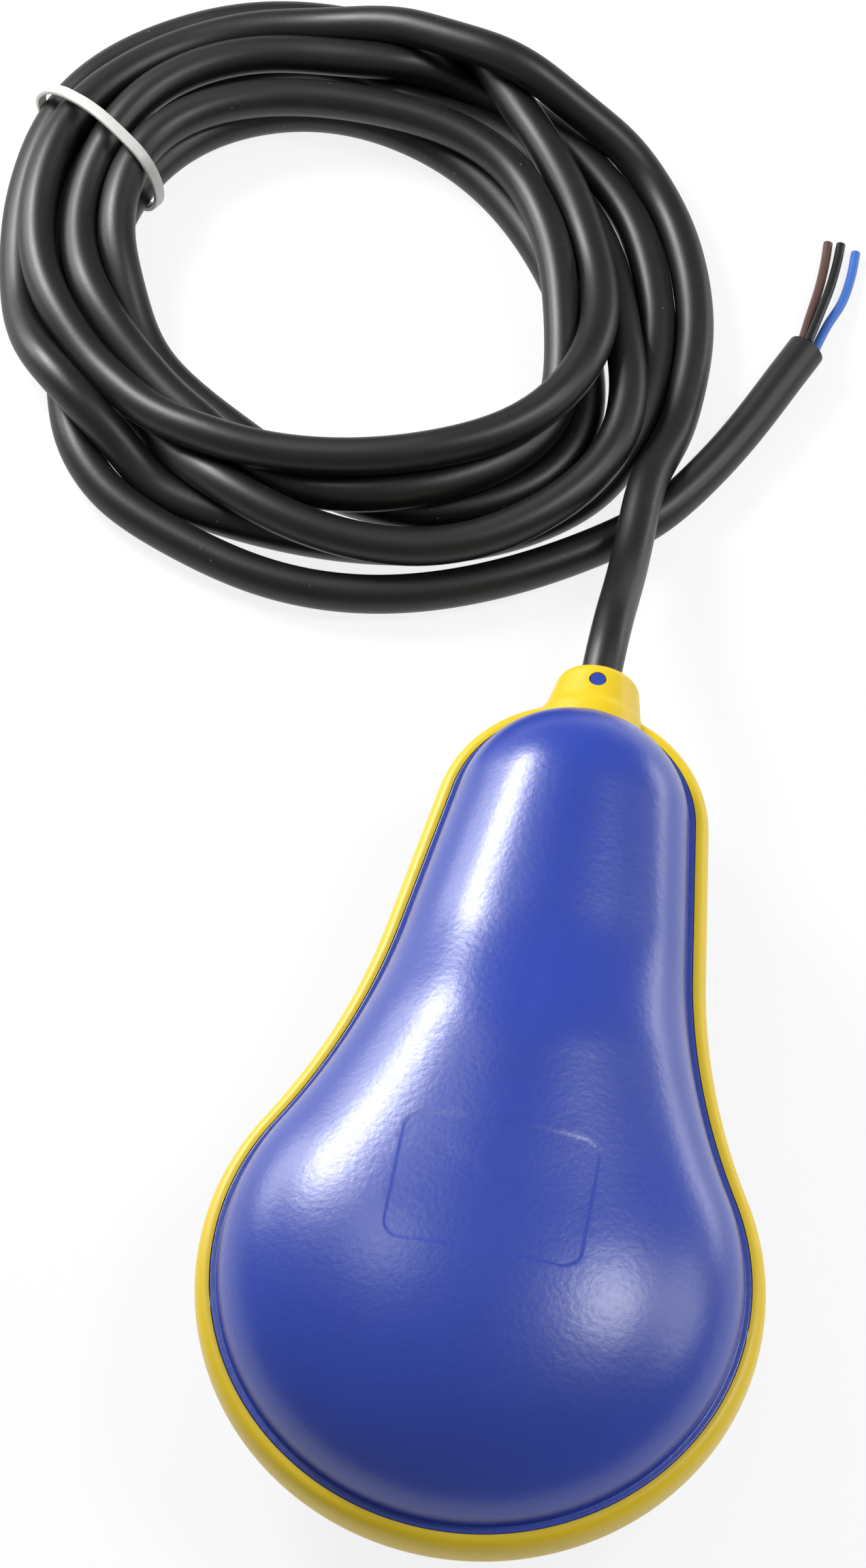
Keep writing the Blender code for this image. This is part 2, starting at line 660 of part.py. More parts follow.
def add_cable_clamp(mat):
    """Saddle that holds the cable down on the rear shell's cradle."""
    bm = bmesh.new()
    low = inside(-CLAMP_WIDTH / 2, clamp_start(), -GAP / 2)
    high = inside(CLAMP_WIDTH / 2, clamp_start() + CLAMP_LENGTH, CLAMP_HEIGHT)
    add_box(bm, low, high)
    clamp = add_object("cable_clamp", bm, mat)
    holes = bmesh.new()
    y = clamp_start()
    start = inside(0, y - CLAMP_LENGTH, 0)
    add_cylinder(holes, start, inside(0, y + 2 * CLAMP_LENGTH, 0), CABLE_HOLE, 32)
    y += CLAMP_LENGTH / 2
    for x in clamp_screw_places():
        end = inside(x, y, 2 * CLAMP_HEIGHT)
        add_cylinder(holes, inside(x, y, -CLAMP_HEIGHT), end, CLAMP_SCREW_RADIUS + GAP, 16)
    combine(clamp, make_cutter("clamp_holes", holes), "DIFFERENCE")
    return clamp


def screw_mesh(bm, place, radius, reach):
    """Pan-head screw with its head's underside at place, pointing down."""
    head_radius = 1.75 * radius
    head_top = 1.3 * radius
    rings = []
    profile = [
        (radius, -reach), (radius, 0.0), (head_radius, 0.0), (head_radius, 0.6 * head_top),
        (0.8 * head_radius, head_top),
    ]
    segments = 16
    for size, z in profile:
        ring = []
        for i in range(segments):
            angle = 2 * math.pi * i / segments
            ring.append(place + Vector((size * math.cos(angle), size * math.sin(angle), z)))
        rings.append(ring)
    loops = join_rings(bm, rings)
    bm.faces.new(loops[0])
    bm.faces.new(loops[-1])


def add_screws(mat):
    """Screws of the clamp and of the case's feet."""
    y = clamp_start() + CLAMP_LENGTH / 2
    for index, x in enumerate(clamp_screw_places()):
        bm = bmesh.new()
        place = inside(x, y, CLAMP_HEIGHT + GAP)
        screw_mesh(bm, place, CLAMP_SCREW_RADIUS, CLAMP_HEIGHT + CLAMP_SCREW_REACH)
        add_object(f"clamp_screw_{index + 1}", bm, mat)
    for index, (x, y) in enumerate(case_screw_places()):
        bm = bmesh.new()
        place = inside(x, y, CASE_FLOOR_Z + GAP)
        screw_mesh(bm, place, CASE_SCREW_RADIUS, CASE_SCREW_REACH)
        add_object(f"case_screw_{index + 1}", bm, mat)


def add_switch_case(mat):
    """Open box of the inner switch, with screw feet, a pedestal and two pegs for the switch."""
    half = CASE_WIDTH / 2
    end = CASE_END
    bm = bmesh.new()
    low = inside(-FOOT_WIDTH / 2, CASE_START - CASE_FOOT, -CASE_BELOW_SEAM)
    high = inside(FOOT_WIDTH / 2, end + CASE_FOOT, CASE_FLOOR_Z)
    add_round_box(bm, low, high, FOOT_CORNER)
    case = add_object("switch_case", bm, mat)
    block = bmesh.new()
    low = inside(-half, CASE_START, -CASE_BELOW_SEAM)
    add_round_box(block, low, inside(half, end, CASE_TOP_Z), CASE_CORNER)
    combine(case, make_cutter("case_block", block), "UNION")
    pocket = bmesh.new()
    low = inside(-half + CASE_WALL, CASE_START + CASE_WALL, CASE_FLOOR_Z)
    high = inside(half - CASE_WALL, end - CASE_WALL, 2 * CASE_TOP_Z)
    add_round_box(pocket, low, high, CASE_CORNER - 0.8 * CASE_WALL)
    combine(case, make_cutter("case_pocket", pocket), "DIFFERENCE")
    stand = bmesh.new()
    low = inside(SWITCH_FRONT + GAP, SWITCH_START + GAP, CASE_FLOOR_Z - CASE_WALL / 2)
    high_y = SWITCH_START + SWITCH_LENGTH - GAP
    high = inside(SWITCH_FRONT + SWITCH_DEPTH - GAP, high_y, -SWITCH_THICKNESS / 2 - GAP)
    add_box(stand, low, high)
    combine(case, make_cutter("case_stand", stand), "UNION")
    pegs = bmesh.new()
    for x, y in peg_places():
        top = inside(x, y, SWITCH_THICKNESS / 2)
        add_cylinder(pegs, inside(x, y, -SWITCH_THICKNESS), top, SWITCH_PEG_RADIUS, 16)
    combine(case, make_cutter("case_pegs", pegs), "UNION")
    holes = bmesh.new()
    for x, y in case_screw_places():
        top = inside(x, y, 0.0)
        add_cylinder(holes, inside(x, y, -2 * CASE_BELOW_SEAM), top, CASE_SCREW_RADIUS + GAP, 16)
    low = inside(-WIRE_SLOT_WIDTH / 2, end - 2 * CASE_WALL, WIRE_SLOT_FLOOR)
    add_box(holes, low, inside(WIRE_SLOT_WIDTH / 2, end + CASE_WALL, WIRE_SLOT_FLOOR + WIRE_SLOT_HEIGHT))
    combine(case, make_cutter("case_holes", holes), "DIFFERENCE")
    return case


def peg_places():
    """Places of the two pegs that the small switch sits on."""
    x = SWITCH_FRONT + SWITCH_DEPTH - SWITCH_PEG_INSET
    return [(x, SWITCH_START + SWITCH_PEG_INSET), (x, SWITCH_START + SWITCH_LENGTH - SWITCH_PEG_INSET)]


def add_switch_lid(mat):
    """Lid of the case, with a lip that drops inside the walls."""
    half = CASE_WIDTH / 2
    end = CASE_END
    bottom = CASE_TOP_Z + GAP
    bm = bmesh.new()
    high = inside(half, end, bottom + LID_THICKNESS)
    add_round_box(bm, inside(-half, CASE_START, bottom), high, CASE_CORNER)
    lid = add_object("switch_lid", bm, mat)
    inset = CASE_WALL + GAP
    lip = bmesh.new()
    low = inside(-half + inset, CASE_START + inset, bottom - LID_LIP)
    high = inside(half - inset, end - inset, bottom + LID_THICKNESS / 2)
    add_round_box(lip, low, high, CASE_CORNER - 0.8 * CASE_WALL)
    combine(lid, make_cutter("lid_lip", lip), "UNION")
    inset += LID_LIP_WALL
    hollow = bmesh.new()
    low = inside(-half + inset, CASE_START + inset, bottom - 2 * LID_LIP)
    add_box(hollow, low, inside(half - inset, end - inset, bottom))
    combine(lid, make_cutter("lid_hollow", hollow), "DIFFERENCE")
    return lid


def add_ball_channel(mat):
    """Trough that guides the ball, open beside the lever, with a stop at each end."""
    floor_low = CASE_FLOOR_Z + GAP
    floor_top = floor_low + CHANNEL_FLOOR
    wall_top = BALL_Z + CHANNEL_WALL_RISE
    low_x = BALL_X - CHANNEL_INNER / 2 - CHANNEL_WALL
    high_x = BALL_X + CHANNEL_INNER / 2 + CHANNEL_WALL
    stop = BALL_Y + BALL_TRAVEL + BALL_RADIUS + GAP
    bm = bmesh.new()
    add_box(bm, inside(low_x, CHANNEL_START, floor_low), inside(high_x, stop + CHANNEL_WALL, wall_top))
    channel = add_object("ball_channel", bm, mat)
    lane = bmesh.new()
    low = inside(low_x + CHANNEL_WALL, CHANNEL_START + CHANNEL_WALL, floor_top)
    add_box(lane, low, inside(high_x - CHANNEL_WALL, stop, 2 * wall_top + BALL_RADIUS))
    combine(channel, make_cutter("channel_lane", lane), "DIFFERENCE")
    window = bmesh.new()
    lever_tip = HINGE_Y - LEVER_LENGTH * math.cos(LEVER_REST_ANGLE)
    low = inside(BALL_X + BALL_RADIUS / 3, lever_tip - 2 * CHANNEL_WALL, floor_top)
    add_box(window, low, inside(2 * high_x + BALL_RADIUS, 2 * stop, 2 * wall_top + BALL_RADIUS))
    combine(channel, make_cutter("channel_window", window), "DIFFERENCE")
    return channel


def add_steel_ball(mat):
    """Ball that rolls along its channel when the float tips."""
    bm = bmesh.new()
    bmesh.ops.create_uvsphere(bm, u_segments=20, v_segments=12, radius=BALL_RADIUS)
    return add_object("steel_ball", bm, mat, inside(BALL_X, BALL_Y, BALL_Z))


def add_microswitch(mat):
    """Body of the small switch, with two lugs for the lever's pin."""
    half = SWITCH_THICKNESS / 2
    back = SWITCH_FRONT + SWITCH_DEPTH
    end = SWITCH_START + SWITCH_LENGTH
    bm = bmesh.new()
    add_box(bm, inside(SWITCH_FRONT, SWITCH_START, -half), inside(back, end, half))
    body = add_object("microswitch_body", bm, mat)
    lugs = bmesh.new()
    reach = LEVER_BARREL + GAP
    for side in (-1, 1):
        middle = side * (half - LUG_THICKNESS / 2)
        low = inside(HINGE_X - reach, end - HINGE_PAST_SWITCH, middle - LUG_THICKNESS / 2)
        high = inside(HINGE_X + 2 * reach, HINGE_Y + reach, middle + LUG_THICKNESS / 2)
        add_box(lugs, low, high)
    combine(body, make_cutter("switch_lugs", lugs), "UNION")
    holes = bmesh.new()
    for x, y in peg_places():
        add_cylinder(holes, inside(x, y, -2 * half), inside(x, y, 2 * half), SWITCH_PEG_RADIUS + GAP, 16)
    hinge_low = inside(HINGE_X, HINGE_Y, -2 * half)
    add_cylinder(holes, hinge_low, inside(HINGE_X, HINGE_Y, 2 * half), HINGE_PIN_RADIUS + GAP, 16)
    y = HINGE_Y - PLUNGER_ARM
    depth = plunger_tip() + PLUNGER_LENGTH + PLUNGER_ARM * math.tan(LEVER_STROKE) + 2 * GAP
    add_cylinder(holes, inside(0, y, 0), inside(depth, y, 0), PLUNGER_RADIUS + GAP, 16)
    combine(body, make_cutter("switch_holes", holes), "DIFFERENCE")
    return body


def plunger_tip():
    """X of the plunger's tip, one gap from the lever at rest."""
    slope = math.tan(LEVER_REST_ANGLE)
    lever_face = HINGE_X - PLUNGER_ARM * slope + LEVER_THICKNESS / 2 / math.cos(LEVER_REST_ANGLE)
    return lever_face + PLUNGER_RADIUS * slope + GAP


def add_plunger(mat):
    """Plunger that the lever presses into the small switch."""
    bm = bmesh.new()
    add_cylinder(bm, (0, 0, 0), (PLUNGER_LENGTH, 0, 0), PLUNGER_RADIUS, 16)
    return add_object("switch_plunger", bm, mat, inside(plunger_tip(), HINGE_Y - PLUNGER_ARM, 0))


def add_lever(mat):
    """Lever that the ball pushes aside, turning on its pin."""
    half = LEVER_WIDTH / 2
    bm = bmesh.new()
    thick = LEVER_THICKNESS / 2
    near = HINGE_PIN_RADIUS + GAP + 0.0002
    add_box(bm, (-thick, -LEVER_LENGTH, -half), (thick, -near, half))
    turn = Matrix.Rotation(-LEVER_REST_ANGLE, 4, "Z")
    bmesh.ops.transform(bm, matrix=turn, verts=bm.verts)
    place = inside(HINGE_X, HINGE_Y, 0)
    lever = add_object("switch_lever", bm, mat, place)
    barrel = bmesh.new()
    low = Vector((0, 0, -half - 0.0002))
    add_cylinder(barrel, place + low, place - low, LEVER_BARREL, 24)
    combine(lever, make_cutter("lever_barrel", barrel), "UNION")
    hole = bmesh.new()
    add_cylinder(hole, place + 2 * low, place - 2 * low, HINGE_PIN_RADIUS + GAP, 16)
    combine(lever, make_cutter("lever_hole", hole), "DIFFERENCE")
    return lever


def add_lever_pin(mat):
    """Pin that carries the lever between the lugs."""
    half = SWITCH_THICKNESS / 2
    bm = bmesh.new()
    add_cylinder(bm, inside(HINGE_X, HINGE_Y, -half), inside(HINGE_X, HINGE_Y, half), HINGE_PIN_RADIUS, 16)
    return add_object("lever_pin", bm, mat)


def terminal_y(index):
    """Y of a terminal, counted from the belly side."""
    return SWITCH_START + SWITCH_LENGTH / 2 + (index - 1) * TERMINAL_SPACING


def add_terminals(mat):
    """Three blades at the back of the small switch."""
    back = SWITCH_FRONT + SWITCH_DEPTH + GAP
    thick = TERMINAL_THICKNESS / 2
    half = TERMINAL_WIDTH / 2
    for index, name in enumerate(("terminal_common", "terminal_open", "terminal_closed")):
        bm = bmesh.new()
        y = terminal_y(index)
        add_box(bm, inside(back, y - thick, -half), inside(back + TERMINAL_LENGTH, y + thick, half))
        add_object(name, bm, mat)


def add_inner_wires(mats):
    """Three insulated wires from the terminals to the end of the cable's sheath."""
    start_x = SWITCH_FRONT + SWITCH_DEPTH + GAP + TERMINAL_LENGTH / 2
    rise = TERMINAL_WIDTH / 2 + GAP
    level = WIRE_SLOT_FLOOR + WIRE_SLOT_HEIGHT / 2
    exit_y = CASE_END
    cable_end = NOZZLE_TIP - CABLE_INSIDE - GAP
    for index, name in enumerate(("brown", "black", "blue")):
        y = terminal_y(index)
        x = (index - 1) * WIRE_SPACING
        route = [
            inside(start_x, y, rise),
            inside(start_x, y, rise + WIRE_RADIUS),
            inside(start_x - WIRE_RADIUS, y + WIRE_RADIUS, level - WIRE_RADIUS),
            inside(0.72 * start_x + 0.28 * x, y + 0.0035, level),
            inside(0.25 * start_x + 0.75 * x, 0.55 * y + 0.45 * exit_y, level),
            inside(x, exit_y - 0.0040, level),
            inside(x, exit_y + 0.0020, level),
            inside(0.9 * x, 0.5 * exit_y + 0.5 * cable_end, level / 2),
            inside(0.8 * x, cable_end - 0.0020, 0.0),
            inside(0.8 * x, cable_end, 0.0),
        ]
        add_tube("inner_wire_" + name, smooth_curve(route, 0.0022), WIRE_RADIUS, mats[name])


def compass_value(values, angle):
    """Smooth closed curve through eight values set 45 degrees apart."""
    place = (angle % (2 * math.pi)) / (math.pi / 4)
    index = int(place)
    t = place - index
    a, b, c, d = (values[(index + k) % 8] for k in (-1, 0, 1, 2))
    square = (2 * a - 5 * b + 4 * c - d) * t * t
    return 0.5 * (2 * b + (c - a) * t + square + (3 * b - a - 3 * c + d) * t ** 3)


def add_cable(mat):
    """Cable as a tube to the coil, the outer shape of the coil, and a tube to the free end."""
    lead = smooth_curve(LEAD_ROUTE, TUBE_POINT_SPACING)
    tail = smooth_curve(TAIL_ROUTE, TUBE_POINT_SPACING)
    add_tube("cable_lead", lead, CABLE_RADIUS, mat)
    add_tube("cable_tail", tail, CABLE_RADIUS, mat)
    rings = []
    for i in range(COIL_STEPS):
        angle = 2 * math.pi * i / COIL_STEPS
        inner = compass_value(COIL_INNER, angle)
        outer = compass_value(COIL_OUTER, angle)
        top = compass_value(COIL_TOP, angle)
        away = math.degrees(angle) - 160.0
        bottom = 0.0019 * max(0.0, 1 - (away / 26.0) ** 2) ** 0.5
        rings.append(coil_section(angle, inner, outer, bottom, top))
    bm = bmesh.new()
    join_rings(bm, rings, closed=True)
    coil = add_object("cable_coil", bm, mat)
    for name, points in (("lead_groove", lead), ("tail_groove", tail)):
        groove = add_tube(name, longer_ends(points), CABLE_RADIUS + 2 * GAP, mat)
        groove.hide_render = True
        groove.display_type = "WIRE"
        bm = bmesh.new()
        solid = bpy.data.meshes.new_from_object(groove)
        bm.from_mesh(solid)
        bpy.data.objects.remove(groove, do_unlink=True)
        combine(coil, make_cutter(name + "_cutter", bm), "DIFFERENCE")


def longer_ends(points):
    """The points with both ends carried one gap further."""
    first = points[0] + (points[0] - points[1]).normalized() * 2 * GAP
    last = points[-1] + (points[-1] - points[-2]).normalized() * 2 * GAP
    return [first] + points[1:-1] + [last]


def coil_section(angle, inner, outer, bottom, top):
    """Rounded section of the coil at one angle."""
    middle_r = (inner + outer) / 2
    middle_z = (bottom + top) / 2
    ring = []
    for k in range(12):
        turn = 2 * math.pi * k / 12
        c = math.cos(turn)
        s = math.sin(turn)
        r = middle_r + (outer - inner) / 2 * math.copysign(abs(c) ** 0.6, c)
        z = middle_z + (top - bottom) / 2 * math.copysign(abs(s) ** 0.6, s)
        x = COIL_CENTRE[0] + r * math.cos(angle)
        y = COIL_CENTRE[1] + r * math.sin(angle)
        ring.append(Vector((x, y, z)))
    return ring


def add_cable_tie(mat):
    """Closed strap round the coil, with its head inside the coil."""
    along = Vector((math.cos(TIE_DIRECTION), math.sin(TIE_DIRECTION), 0.0))
    across = Vector((-along.y, along.x, 0.0)) * TIE_WIDTH / 2
    base = Vector((*TIE_CENTRE, 0.0001 + TIE_HEIGHT / 2))
    rings = []
    for k in range(36):
        turn = 2 * math.pi * k / 36
        c = math.copysign(abs(math.cos(turn)) ** 0.55, math.cos(turn))
        s = math.copysign(abs(math.sin(turn)) ** 0.55, math.sin(turn))
        outer = along * TIE_HALF_WIDTH * c + Vector((0, 0, TIE_HEIGHT / 2 * s))
        inner_x = (TIE_HALF_WIDTH - TIE_THICKNESS) * c
        inner = along * inner_x + Vector((0, 0, (TIE_HEIGHT / 2 - TIE_THICKNESS) * s))
        outside = base + outer
        within = base + inner
        rings.append([outside + across, outside - across, within - across, within + across])
    bm = bmesh.new()
    join_rings(bm, rings, closed=True)
    tie = add_object("cable_tie", bm, mat)
    head = bmesh.new()
    bmesh.ops.create_cube(head, size=1.0)
    size = (TIE_HEAD, 1.5 * TIE_WIDTH, 1.2 * TIE_HEAD)
    middle = base + along * (TIE_HALF_WIDTH + TIE_HEAD / 2 - 0.8 * TIE_THICKNESS)
    turn = Matrix.Rotation(TIE_DIRECTION, 4, "Z")
    place = Matrix.Translation(middle - Vector((0, 0, TIE_HEIGHT / 8)))
    bmesh.ops.transform(head, matrix=place @ turn @ Matrix.Diagonal((*size, 1.0)), verts=head.verts)
    combine(tie, make_cutter("tie_head", head), "UNION")
    return tie


def add_wire_ends(mats):
    """Three stripped wire ends at the cable's free end."""
    for name, route in WIRE_END_ROUTES.items():
        add_tube("wire_end_" + name, smooth_curve(route, 0.004), WIRE_RADIUS, mats[name])


def main():
    clear_scene()
    blue = make_material("blue_plastic", (0.042, 0.078, 0.376), 0.28)
    yellow = make_material("yellow_plastic", (0.761, 0.578, 0.013), 0.38)
    rubber = make_material("cable_rubber", (0.013, 0.014, 0.014), 0.42)
    white = make_material("white_plastic", (0.680, 0.680, 0.640), 0.45)
    grey = make_material("grey_plastic", (0.200, 0.205, 0.210), 0.50)
    dark = make_material("dark_plastic", (0.020, 0.020, 0.022), 0.50)
    red = make_material("red_plastic", (0.500, 0.020, 0.015), 0.40)
    steel = make_material("bright_steel", (0.620, 0.620, 0.620), 0.22, 1.0)
    brass = make_material("brass", (0.720, 0.500, 0.200), 0.30, 1.0)
    nylon = make_material("clear_nylon", (0.680, 0.680, 0.670), 0.35)
    wires = {
        "brown": make_material("brown_wire", (0.102, 0.051, 0.038), 0.40),
        "black": make_material("black_wire", (0.015, 0.015, 0.016), 0.40),
        "blue": make_material("blue_wire", (0.042, 0.122, 0.515), 0.40),
    }
    bore = cable_bore()
    add_front_shell(blue, bore)
    add_rear_shell(blue, bore)
    add_seam_band(yellow)
    add_cable_sleeve(blue)
    add_cable_seal(rubber)
    add_cable_clamp(grey)
    add_screws(steel)
    add_switch_case(white)
    add_switch_lid(white)
    add_ball_channel(grey)
    add_steel_ball(steel)
    add_microswitch(dark)
    add_plunger(red)
    add_lever(steel)
    add_lever_pin(steel)
    add_terminals(brass)
    add_inner_wires(wires)
    add_cable(rubber)
    add_cable_tie(nylon)
    add_wire_ends(wires)


main()
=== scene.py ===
"""Looks of a cable float switch: blue moulded float, yellow band and nozzle, and its coiled black cable.

Units are metres and +Z is up, in the frame of the solid model. The float lies on its rear face,
and +Y runs along it towards the cable nozzle.
"""

import math

import bmesh
import bpy
import numpy as np
from mathutils import Matrix, Vector
from mathutils.bvhtree import BVHTree


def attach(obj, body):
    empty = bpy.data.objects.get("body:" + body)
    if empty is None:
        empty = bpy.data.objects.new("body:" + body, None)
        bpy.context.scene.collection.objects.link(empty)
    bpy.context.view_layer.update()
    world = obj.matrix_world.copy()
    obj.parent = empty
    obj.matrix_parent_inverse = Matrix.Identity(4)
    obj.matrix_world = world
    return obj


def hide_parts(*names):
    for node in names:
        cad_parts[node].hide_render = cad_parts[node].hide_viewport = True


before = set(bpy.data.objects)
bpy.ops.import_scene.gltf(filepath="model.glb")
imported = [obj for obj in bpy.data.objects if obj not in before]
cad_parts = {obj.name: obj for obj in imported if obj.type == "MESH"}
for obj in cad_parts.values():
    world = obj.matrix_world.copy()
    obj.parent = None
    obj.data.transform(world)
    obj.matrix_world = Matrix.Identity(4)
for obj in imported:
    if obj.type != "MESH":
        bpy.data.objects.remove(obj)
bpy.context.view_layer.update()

# Camera, as the photograph was taken
CAMERA_PLACE = (0.050188, -0.443992, 0.952700)
CAMERA_FORWARD = (-0.07383, 0.47954, -0.87441)
CAMERA_UP = (-0.16680, 0.85851, 0.48490)
CAMERA_LENS = 125.0
CAMERA_SENSOR = 36.0

# Float, as in the solid model where no comment says otherwise
BELLY_Y = -0.0396
SEAM_Z = 0.0270
BELLY_RADIUS = 0.050
NECK_RADIUS = 0.024
NECK_DISTANCE = 0.098
WAIST_RADIUS = 0.130
FLANK_ANGLE = math.radians(8.15)
FLANGE_HEIGHT = 0.0045
LEDGE = 0.0013
WALL = 0.0025
SHELL_INSET = LEDGE + WALL
BELLY_RISE = 0.0230
NECK_RISE = 0.0190
SPINE_SOFTNESS = 0.007
REST_FLAT = 0.0005
# The dome sinks from the belly's height to the neck's between these places. That is nearer the belly than
# in the solid model, as the photograph's highlights show, and makes the waist up to 2 mm lower.
RISE_CHANGE_START = 0.036
RISE_CHANGE_END = 0.068
# Sunk panel, shallower than in the solid model and with a soft edge, as its faint outline shows
PANEL_WIDTH = 0.0364
PANEL_LENGTH = 0.0260
PANEL_CENTRE = 0.0087
PANEL_CORNER = 0.0036
PANEL_DEPTH = 0.00008
PANEL_SOFTNESS = 0.0010
PANEL_SPACING = 0.0006
PANEL_CLEARANCE = 0.0004
# Rings of the panel's floor, as shares of its outline. Past its soft edge the space for it rises a little
# above the dome, and then further out, so that the cut leaves no sliver.
PANEL_FLOOR_SHARES = (0.02, 0.25, 0.5, 0.75, 0.9)
PANEL_EDGE_STEPS = 9
PANEL_OVER_RISE = 1.12
PANEL_OVER_REACH = 0.8
# Heights over the seam from which the dome is looked for, and up to which the panel's space reaches
RAY_HEIGHT = 0.05
SPACE_HEIGHT = 0.04
# Band and nozzle, with finer rounding than in the solid model
BAND_WIDTH = 0.0028
BAND_PROFILE = [(0.42, 1.0), (0.74, 0.84), (0.94, 0.55), (1.0, 0.2)]
BAND_ROUND = 0.0008
BAND_FACE = 0.0001
NOZZLE_LENGTH = 0.0100
NOZZLE_RADIUS = 0.0100
NOZZLE_TAPER = math.radians(12.5)
NOZZLE_TIP = NECK_DISTANCE + NECK_RADIUS + NOZZLE_LENGTH
CABLE_DIAMETER = 0.008
CABLE_RADIUS = CABLE_DIAMETER / 2
SLEEVE_HOLE = 0.0065
SLEEVE_START = 0.115473
CABLE_HOLE = 0.0043
PIN_RADIUS = 0.0015
PIN_FROM_TIP = 0.0043
NOZZLE_LIP = 0.0012
NOZZLE_ROUND = 0.0026
LIP_ROUND = 0.0003
NOZZLE_START = NECK_DISTANCE + 0.75 * NECK_RADIUS
NOZZLE_ROUND_ACROSS = 0.9 * NOZZLE_ROUND
NOZZLE_LEAN = 0.2 * NOZZLE_ROUND * NOZZLE_TAPER
NOZZLE_STEPS = 22
NOZZLE_ROUND_STEPS = 12
FOOT_FLARE = 0.0006
FLARE_HEIGHT = 0.0012

# Inside of the shells, as in the solid model: tongue and groove, screw posts and the cable's cradle
TONGUE_INSET = 0.0016
TONGUE_WIDTH = 0.0010
TONGUE_HEIGHT = 0.0012
POST_RADIUS = 0.0035
POST_TOP = -0.0113
POST_HOLE_RADIUS = 0.0018
POST_HOLE_BOTTOM = -0.0171
POST_PLACES = [(-0.011, 0.0245), (0.011, 0.0245), (-0.011, 0.0935), (0.011, 0.0935)]
CRADLE_START = 0.105973
CRADLE_LENGTH = 0.0050
CRADLE_WIDTH = 0.0180
CRADLE_TOP = -0.00045
CLAMP_HOLE_X = 0.00665
CLAMP_HOLE_RADIUS = 0.0015
CLAMP_HOLE_BOTTOM = -0.0083
CLAMP_HOLE_TOP = 0.0065

# Clearances that show as fine lines between the pieces of the float
SEAM_GAP = 0.0003
SHOWN_GAP = 0.0001

# Small roundings of a shell's ledge and rim
FOOT_ROUND = 0.0003
RIM_ROUND = 0.0003
FOOT_ANGLE = math.radians(1.5)

# Steps of half the outline, of the shells' curve and of round holes
BELLY_STEPS = 72
WAIST_STEPS = 30
FLANK_STEPS = 14
NECK_STEPS = 36
DOME_STEPS = 44
BORE_SIDES = 96

# Edges sharper than this stay crisp, on moulded pieces and on what runs along a line
CRISP_ANGLE = math.radians(32)
LINE_CRISP_ANGLE = math.radians(40)
# Points nearer than this are one, and a length below the second is none
WELD_DISTANCE = 2e-6
TINY = 1e-9


def pear_outline(offset):
    """Outline moved outwards by offset, as rows of x and y, from the belly's end round the right side."""
    normal = np.array([math.cos(FLANK_ANGLE), math.sin(FLANK_ANGLE)])
    along = np.array([-normal[1], normal[0]])
    reach = NECK_DISTANCE * math.sin(FLANK_ANGLE) + NECK_RADIUS + WAIST_RADIUS
    spread = math.sqrt((BELLY_RADIUS + WAIST_RADIUS) ** 2 - reach ** 2)
    centre = normal * reach + along * spread
    meet = math.atan2(centre[1], centre[0])
    belly = arc((0, 0), BELLY_RADIUS + offset, -math.pi / 2, meet, BELLY_STEPS)
    waist = arc(centre, offset - WAIST_RADIUS, meet, FLANK_ANGLE, WAIST_STEPS)[1:]
    neck = arc((0, NECK_DISTANCE), NECK_RADIUS + offset, FLANK_ANGLE, math.pi / 2, NECK_STEPS)
    share = np.linspace(0, 1, FLANK_STEPS + 1)[1:-1, None]
    flank = waist[-1] * (1 - share) + neck[0] * share
    half = np.concatenate([belly, waist, flank, neck])
    half[0, 0] = half[-1, 0] = 0
    return np.concatenate([half, half[-2:0:-1] * (-1, 1)])


def arc(centre, radius, start, end, steps):
    """Points along an arc."""
    angle = np.linspace(start, end, steps + 1)
    return np.stack([centre[0] + radius * np.cos(angle), centre[1] + radius * np.sin(angle)], 1)


def spine_places():
    """For each point of the outline, the place on the float's middle line that its dome ray starts from."""
    outline = pear_outline(0.0)
    half = len(outline) // 2 + 1
    side = outline[:half]
    tangent = np.gradient(side, axis=0)
    meets = side[:, 1] + side[:, 0] * tangent[:, 0] / np.where(tangent[:, 1] == 0, TINY, tangent[:, 1])
    meets = np.clip(np.where(side[:, 0] < TINY, side[:, 1], meets), 0, NECK_DISTANCE)
    reach = np.concatenate([[0], np.cumsum(np.linalg.norm(np.diff(side, axis=0), axis=1))])
    near = np.exp(-0.5 * ((reach[:, None] - reach) / SPINE_SOFTNESS) ** 2) * np.gradient(reach)
    soft = near @ np.maximum.accumulate(meets) / near.sum(1)
    soft -= soft[0] * (1 - reach / reach[-1])
    return np.concatenate([soft, soft[-2:0:-1]])


def in_world(points):
    """Points given from the belly's centre and the seam, moved to their place."""
    return np.asarray(points, float) + (0, BELLY_Y, SEAM_Z)


def flat_ring(offset, z):
    """Outline moved outwards by offset, at one height from the seam."""
    outline = pear_outline(offset)
    return in_world(np.column_stack([outline, np.full(len(outline), z)]))


def dome_ring(offset, lift, side, angle, cap=None):
    """Ring of a dome that stands on the outline, at an angle up from its foot."""
    x, y = pear_outline(offset).T
    share = np.clip((SPINE - RISE_CHANGE_START) / (RISE_CHANGE_END - RISE_CHANGE_START), 0, 1)
    rise = BELLY_RISE + (NECK_RISE - BELLY_RISE) * share * share * (3 - 2 * share)
    height = FLANGE_HEIGHT + max(lift, 0) + (rise + min(lift, 0)) * math.sin(angle)
    if cap is not None:
        height = np.minimum(height, cap)
    narrow = math.cos(angle)
    return in_world(np.stack([x * narrow, SPINE + (y - SPINE) * narrow, side * height], 1))


SPINE = spine_places()


